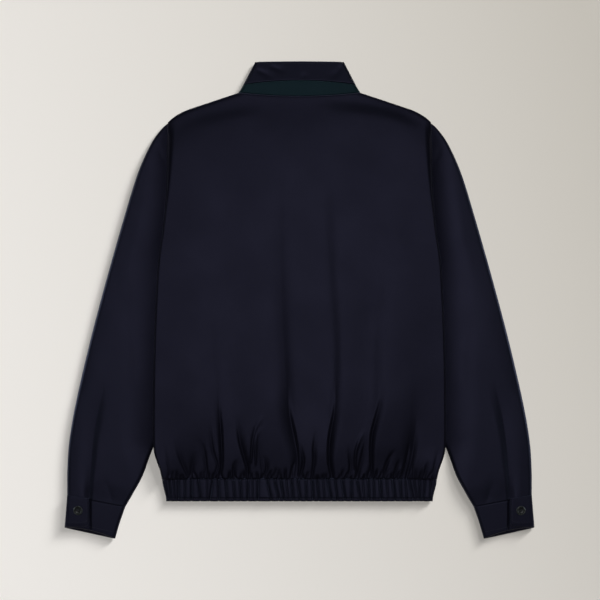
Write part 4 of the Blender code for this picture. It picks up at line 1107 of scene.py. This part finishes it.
def make_teeth(side, word, looks):
    """Moulded coil on the tape's edge: one rounded block a turn."""
    bm = bmesh.new()
    count = int((TAPE_HIGH.y - TAPE_LOW.y - TEETH_ENDS) / TOOTH_PITCH) + 1
    for n in range(count):
        y = TAPE_LOW.y + TEETH_START + (n + (0.5 if side > 0.0 else 0.0)) * TOOTH_PITCH
        made = bmesh.ops.create_cube(bm, size=1.0)["verts"]
        bmesh.ops.scale(bm, verts=made, vec=TOOTH_SIZE)
        bmesh.ops.translate(bm, verts=made, vec=(side * TOOTH_X, y, TAPE_LOW.z + 0.2))
    bmesh.ops.bevel(bm, geom=bm.edges[:], offset=0.3, segments=1, profile=0.5, affect='EDGES',
                    material=-1)
    bmesh.ops.scale(bm, verts=bm.verts, vec=(MM, MM, MM))
    bmesh.ops.recalc_face_normals(bm, faces=bm.faces)
    dress(new_piece(f"zip_teeth_{word}", bm), looks["coil"])


# ---------------------------------------------------------------- shader maths
class Value:
    """A socket whose arithmetic adds Math nodes."""

    def __init__(self, look, socket):
        self.look, self.socket = look, socket

    def math(self, operation, *values):
        return self.look.node('Math', {"operation": operation}, list(values))

    def __add__(self, other):
        return self.math('ADD', self, other)

    __radd__ = __add__

    def __mul__(self, other):
        return self.math('MULTIPLY', self, other)

    __rmul__ = __mul__

    def sine(self):
        return self.math('SINE', self)

    def wave(self):
        """A sine wave between 0 and 1."""
        return self.sine() * 0.5 + 0.5


class Look:
    """A material whose nodes come from one method."""

    def __init__(self, name):
        self.material = bpy.data.materials.new(name)
        self.material.use_nodes = True
        self.tree = self.material.node_tree
        self.shader = self.tree.nodes["Principled BSDF"]

    def node(self, kind, settings=None, inputs=None, output=0):
        made = self.tree.nodes.new(f"ShaderNode{kind}")
        for key, value in (settings or {}).items():
            if key == "stops":
                ramp_stops = made.color_ramp.elements
                while len(ramp_stops) < len(value):
                    ramp_stops.new(0.5)
                for stop, (place, colour) in zip(ramp_stops, value):
                    stop.position, stop.color = place, (*colour, 1.0)
            else:
                setattr(made, key, value)
        pairs = enumerate(inputs) if isinstance(inputs, list) else (inputs or {}).items()
        for key, value in pairs:
            self.feed(made.inputs[key], value)
        return Value(self, made.outputs[output])

    def feed(self, target, value):
        if isinstance(value, Value):
            self.tree.links.new(value.socket, target)
        elif isinstance(value, (tuple, list)) and len(target.default_value) == 4 > len(value):
            target.default_value = (*value, 1.0)
        else:
            target.default_value = value

    def set(self, **inputs):
        for key, value in inputs.items():
            self.feed(self.shader.inputs[key.replace("_", " ")], value)
        return self

    def place(self):
        return self.node('TexCoord', output=3)

    def split(self, vector):
        axes = self.node('SeparateXYZ', inputs=[vector])
        outputs = axes.socket.node.outputs
        return [Value(self, outputs[n]) for n in range(3)]

    def noise(self, vector, scale, detail=3.0, roughness=0.5):
        return self.node('TexNoise', {"noise_dimensions": '3D'},
                         {"Vector": vector, "Scale": scale, "Detail": detail,
                          "Roughness": roughness})

    def tint(self, colour, factor):
        """A colour times a number."""
        return self.node('VectorMath', {"operation": 'SCALE'},
                         {"Vector": tuple(colour), "Scale": factor})

    def bump(self, height, strength, distance):
        self.feed(self.shader.inputs["Normal"],
                  self.node('Bump', inputs={"Height": height, "Strength": strength,
                                            "Distance": distance}))
        return self


def cloth_look(word, cloth, rib_pitch, sheen, rougher):
    """Fine twill: diagonal ribs over crossing threads, slightly uneven in colour."""
    look = Look(f"{word} twill")
    cut = look.node('UVMap', {"uv_map": "cut"})
    u, v, _ = look.split(cut)
    turn = 2.0 * math.pi / rib_pitch
    ribs = ((u * 0.78 + v) * turn).wave()
    warp = (u * (turn * 2.2)).wave()
    weft = (v * (turn * 2.6)).wave()
    stretched = look.node('Mapping', inputs={"Vector": cut, "Scale": (1.0, 0.18, 1.0)})
    slub = look.noise(stretched, 900.0, 2.0)
    cloud = look.noise(cut, 14.0, 3.0)
    fuzz = look.noise(cut, 2600.0, 2.0)
    height = ribs * 0.55 + warp * 0.2 + weft * 0.15 + slub * 0.35 + fuzz * 0.25
    shade = 0.80 + ribs * 0.10 + slub * 0.14 + cloud * 0.16
    look.set(Base_Color=look.tint(getattr(cloth, word), shade),
             Roughness=cloth.roughness + rougher - 0.05 + cloud * 0.10,
             Sheen_Weight=sheen, Sheen_Roughness=0.45, Specular_IOR_Level=cloth.specular,
             Specular_Tint=tuple(getattr(cloth, f"{word}_shine")),
             Sheen_Tint=(0.55, 0.60, 0.95))
    look.bump(height, 0.35, 0.00012)
    return look.material


def thread_look(colour):
    look = Look("sewing thread")
    place = look.place()
    x, y, z = look.split(place)
    twist = ((x + y + z) * 9000.0).wave()
    look.set(Base_Color=look.tint(colour, 0.8 + twist * 0.4), Roughness=0.5)
    look.bump(twist, 0.3, 0.00005)
    return look.material


def button_look():
    """Dark resin, clouded like horn."""
    look = Look("button resin")
    place = look.place()
    bent = look.noise(place, 160.0, 2.0)
    swirl = look.node('VectorMath', {"operation": 'ADD'},
                      [place, look.node('VectorMath', {"operation": 'SCALE'},
                                        {"Vector": bent, "Scale": 0.006})])
    cloud = look.noise(swirl, 420.0, 4.0)
    colour = look.node('ValToRGB', {"stops": [
        (0.36, (0.006, 0.007, 0.008)), (0.52, (0.014, 0.017, 0.017)),
        (0.64, (0.042, 0.048, 0.045)), (0.76, (0.100, 0.110, 0.102))]}, [cloud])
    look.set(Base_Color=colour, Roughness=0.30 + cloud * 0.12, Coat_Weight=0.15,
             Coat_Roughness=0.08)
    look.bump(look.noise(place, 2500.0, 2.0), 0.05, 0.0001)
    return look.material


def tape_look(colour):
    look = Look("zip tape weave")
    place = look.place()
    x, y, _ = look.split(place)
    zigzag = (x * 2600.0 + (y * 3000.0).sine() * 0.6).wave()
    rows = (y * 9000.0).wave()
    look.set(Base_Color=look.tint(colour, 0.7 + zigzag * 0.5), Roughness=0.82)
    look.bump(zigzag * 0.6 + rows * 0.4, 0.4, 0.0001)
    return look.material


def coil_look(colour):
    look = Look("moulded coil")
    place = look.place()
    grain = look.noise(place, 1800.0, 2.0)
    look.set(Base_Color=look.tint(colour, 0.9 + grain * 0.4), Roughness=0.34 + grain * 0.1)
    look.bump(grain, 0.08, 0.00005)
    return look.material


def metal_look():
    look = Look("satin metal")
    place = look.place()
    drawn = look.node('Mapping', inputs={"Vector": place, "Scale": (1.0, 0.06, 1.0)})
    brush = look.noise(drawn, 5200.0, 3.0)
    wear = look.noise(place, 300.0, 3.0)
    look.set(Base_Color=look.tint((0.42, 0.42, 0.43), 0.75 + wear * 0.4), Metallic=1.0,
             Roughness=0.26 + brush * 0.14)
    look.bump(brush, 0.12, 0.00005)
    return look.material


def floor_look(stage):
    """Pale paper, painted darker towards the right and the top: painted shade for light falling off
    across the floor.
    """
    look = Look("pale floor")
    place = look.place()
    x, y, _ = look.split(place)
    # Mask of the painted shade: 0 at the lower left, 1 at the upper right.
    share = look.node('MapRange', {"interpolation_type": 'LINEAR'},
                      {"Value": x + y * 0.42, "From Min": -0.65, "From Max": 0.65})
    grain = look.noise(place, 700.0, 3.0)
    colour = look.node('Mix', {"data_type": 'RGBA'}, None)
    mix = colour.socket.node
    look.feed(mix.inputs["Factor"], share)
    mix.inputs[6].default_value = (*stage.floor_painted_bright, 1.0)
    mix.inputs[7].default_value = (*stage.floor_painted_shade, 1.0)
    look.set(Base_Color=Value(look, mix.outputs[2]), Roughness=0.9, Specular_IOR_Level=0.1)
    look.bump(grain, 0.04, 0.0002)
    return look.material


LOOKS = {}


def looks_of(scene):
    """Materials, made once."""
    if not LOOKS:
        cloth = scene.jacket_cloth
        LOOKS.update(navy=cloth_look("navy", cloth, cloth.twill, 0.05, 0.0),
                     green=cloth_look("green", cloth, 0.8 * cloth.twill, 0.04, 0.04),
                     thread=thread_look(cloth.thread), button=button_look(),
                     tape=tape_look(cloth.tape), coil=coil_look(cloth.tape), metal=metal_look())
    return LOOKS


# ---------------------------------------------------------------- operators
class JacketOperator:
    bl_options = {'REGISTER', 'UNDO'}

    def execute(self, context):
        self.build(context, looks_of(context.scene))
        return {'FINISHED'}


class SidedOperator(JacketOperator):
    def build(self, context, looks):
        for word, side in SIDES:
            self.build_side(side, word, looks)


class JACKET_OT_back(JacketOperator, bpy.types.Operator):
    """Back panel with its gathers"""
    bl_idname = "jacket.back"
    bl_label = "Back"

    def build(self, context, looks):
        make_back(looks)


class JACKET_OT_fronts(SidedOperator, bpy.types.Operator):
    """Both front panels, under the back"""
    bl_idname = "jacket.fronts"
    bl_label = "Fronts"
    build_side = staticmethod(make_front)


class JACKET_OT_sleeves(SidedOperator, bpy.types.Operator):
    """Both sleeves, tucked under the body's sides"""
    bl_idname = "jacket.sleeves"
    bl_label = "Sleeves"
    build_side = staticmethod(make_sleeve)


class JACKET_OT_cuffs(SidedOperator, bpy.types.Operator):
    """Cuffs with their overlapping tabs and topstitching"""
    bl_idname = "jacket.cuffs"
    bl_label = "Cuffs"

    def build_side(self, side, word, looks):
        for name, piece, path in (
                ("cuff", make_cuff(side, word, looks), cuff_line(CUFF_STITCH_SHARE, 0.46, 0.95)),
                ("cuff_tab", make_tab(side, word, looks), TAB_STITCHES)):
            sew(f"{name}_stitches_{word}", piece, [(side * x, y) for x, y in path], looks)


class JACKET_OT_buttons(SidedOperator, bpy.types.Operator):
    """Cuff buttons with their thread"""
    bl_idname = "jacket.buttons"
    bl_label = "Buttons"
    build_side = staticmethod(make_button)


class JACKET_OT_waistband(JacketOperator, bpy.types.Operator):
    """Shirred waistband with its topstitching"""
    bl_idname = "jacket.waistband"
    bl_label = "Waistband"

    def build(self, context, looks):
        reach = HEM_HALF_WIDTH - 3.0
        line = [(lerp(-reach, reach, t), HEM_Y + HEM_STITCH) for t in np.linspace(0.0, 1.0, 80)]
        sew("waistband_stitches", make_waistband(looks), line, looks)


class JACKET_OT_collar(JacketOperator, bpy.types.Operator):
    """Collar and its stand, closed round the neck"""
    bl_idname = "jacket.collar"
    bl_label = "Collar"

    def build(self, context, looks):
        sew("collar_stitches", make_collar(looks), LEAF_STITCHES, looks)


class JACKET_OT_zip(SidedOperator, bpy.types.Operator):
    """Front zip: woven tapes, coil, slider and pull"""
    bl_idname = "jacket.zip"
    bl_label = "Zip"
    build_side = staticmethod(make_teeth)

    def build(self, context, looks):
        super().build(context, looks)
        for node, look in (("zip_tape_left", "tape"), ("zip_tape_right", "tape"),
                           ("zip_slider", "metal"), ("zip_pull", "metal")):
            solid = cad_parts[node]
            solid.data.materials.clear()
            solid.data.materials.append(looks[look])


WHITE, COOL = (1.0, 1.0, 1.0), (0.80, 0.95, 1.0)
LIGHTS = [                    # name, place, radius, power, colour, link state, linked pieces
    ("floor low light", (5.4, 5.4, 2.3), 0.9, 640.0, WHITE, 'INCLUDE', ["floor"]),
    ("floor high light", (4.9, 4.9, 4.0), 1.8, 345.0, WHITE, 'INCLUDE', ["floor"]),
    ("floor overhead light", (0.0, 0.0, 6.0), 0.2, 146.0, WHITE, 'INCLUDE', ["floor"]),
    ("overhead softbox", (0.0, 0.12, 4.2), 0.5, 18.6, WHITE, 'EXCLUDE', ["floor"]),
    ("left softbox", (-1.75, 0.2, 0.26), 0.4, 9.0, COOL, 'EXCLUDE', ["floor", "back_cloth"]),
    ("right softbox", (1.75, 0.2, 0.26), 0.4, 9.0, COOL, 'EXCLUDE', ["floor", "back_cloth"]),
    ("top softbox", (0.0, 1.9, 0.35), 0.4, 6.0, COOL, 'EXCLUDE', ["floor"]),
]
FLOOR_HALF_WIDTH = 4.0
FLOOR_Z = -0.0004             # just under the jacket
SENSOR_WIDTH = 36.0
WALLS_AND_CEILING = {         # strength of the world's light by its direction's height
    "From Min": 0.05, "From Max": 0.40, "To Min": 0.34, "To Max": 0.03,
}


def area_light(name, place, radius, power, tint, state, pieces):
    """A round softbox towards the jacket's middle. It lights only the given pieces, or all the
    others, by its state."""
    data = bpy.data.lights.new(name, 'AREA')
    data.shape, data.size, data.energy, data.color = 'DISK', 2.0 * radius, power, tint
    light = bpy.data.objects.new(name, data)
    light.location = place
    light.rotation_euler = Vector(place).to_track_quat('Z', 'Y').to_euler()
    bpy.context.scene.collection.objects.link(light)
    lit = bpy.data.collections.new(f"{name} receivers")
    for piece in pieces:
        lit.objects.link(bpy.data.objects[piece])
    for member in lit.collection_objects:
        member.light_linking.link_state = state
    light.light_linking.receiver_collection = lit


def soft_room():
    """World light: light walls under a dark ceiling."""
    world = bpy.data.worlds.new("soft room")
    world.use_nodes = True
    nodes, links = world.node_tree.nodes, world.node_tree.links
    axes = nodes.new("ShaderNodeSeparateXYZ")
    glow = nodes.new("ShaderNodeMapRange")
    for socket, value in WALLS_AND_CEILING.items():
        glow.inputs[socket].default_value = value
    links.new(nodes.new("ShaderNodeTexCoord").outputs["Generated"], axes.inputs[0])
    links.new(axes.outputs["Z"], glow.inputs["Value"])
    links.new(glow.outputs["Result"], nodes["Background"].inputs["Strength"])
    nodes["Background"].inputs["Color"].default_value = (1.0, 1.0, 1.0, 1.0)
    return world


class JACKET_OT_stage(JacketOperator, bpy.types.Operator):
    """Pale floor, soft studio light and the camera above"""
    bl_idname = "jacket.stage"
    bl_label = "Stage"

    def build(self, context, looks):
        scene, stage = context.scene, context.scene.jacket_stage
        bm = bmesh.new()
        bmesh.ops.create_grid(bm, x_segments=1, y_segments=1, size=FLOOR_HALF_WIDTH)
        floor = new_piece("floor", bm)
        floor.data.materials.append(floor_look(stage))
        floor.location.z = FLOOR_Z
        for light in LIGHTS:
            area_light(*light)
        scene.world = soft_room()
        camera = bpy.data.objects.new("camera", bpy.data.cameras.new("camera"))
        camera.data.lens = stage.lens
        camera.data.sensor_width = SENSOR_WIDTH
        distance = stage.view_width * stage.lens / SENSOR_WIDTH
        camera.location = (0.0008, 0.0, distance + 0.008)
        scene.collection.objects.link(camera)
        scene.camera = camera
        scene.view_settings.view_transform = 'Standard'


class JACKET_PT_parts(bpy.types.Panel):
    """The jacket's pieces"""
    bl_idname = "JACKET_PT_parts"
    bl_label = "Blouson"
    bl_space_type = 'VIEW_3D'
    bl_region_type = 'UI'
    bl_category = "Jacket"

    def draw(self, context):
        for operator in OPERATORS:
            self.layout.operator(operator.bl_idname)
        for group in GROUPS:
            settings = getattr(context.scene, group)
            for name in settings.__annotations__:
                self.layout.prop(settings, name)


OPERATORS = (JACKET_OT_sleeves, JACKET_OT_fronts, JACKET_OT_back, JACKET_OT_waistband,
             JACKET_OT_collar, JACKET_OT_cuffs, JACKET_OT_buttons, JACKET_OT_zip,
             JACKET_OT_stage)
GROUPS = {"jacket_cloth": JacketCloth, "jacket_sewing": JacketSewing,
          "jacket_stage": JacketStage}


def register():
    for group in GROUPS.values():
        bpy.utils.register_class(group)
    for operator in OPERATORS:
        bpy.utils.register_class(operator)
    bpy.utils.register_class(JACKET_PT_parts)
    for name, group in GROUPS.items():
        setattr(bpy.types.Scene, name, PointerProperty(type=group))


def unregister():
    for name in GROUPS:
        delattr(bpy.types.Scene, name)
    bpy.utils.unregister_class(JACKET_PT_parts)
    for cls in reversed([*GROUPS.values(), *OPERATORS]):
        bpy.utils.unregister_class(cls)


def main():
    register()
    for operator in OPERATORS:
        group, name = operator.bl_idname.split(".")
        if getattr(getattr(bpy.ops, group), name)() != {'FINISHED'}:
            raise RuntimeError(f"{operator.bl_label} could not be built")


if __name__ == "__main__":
    main()
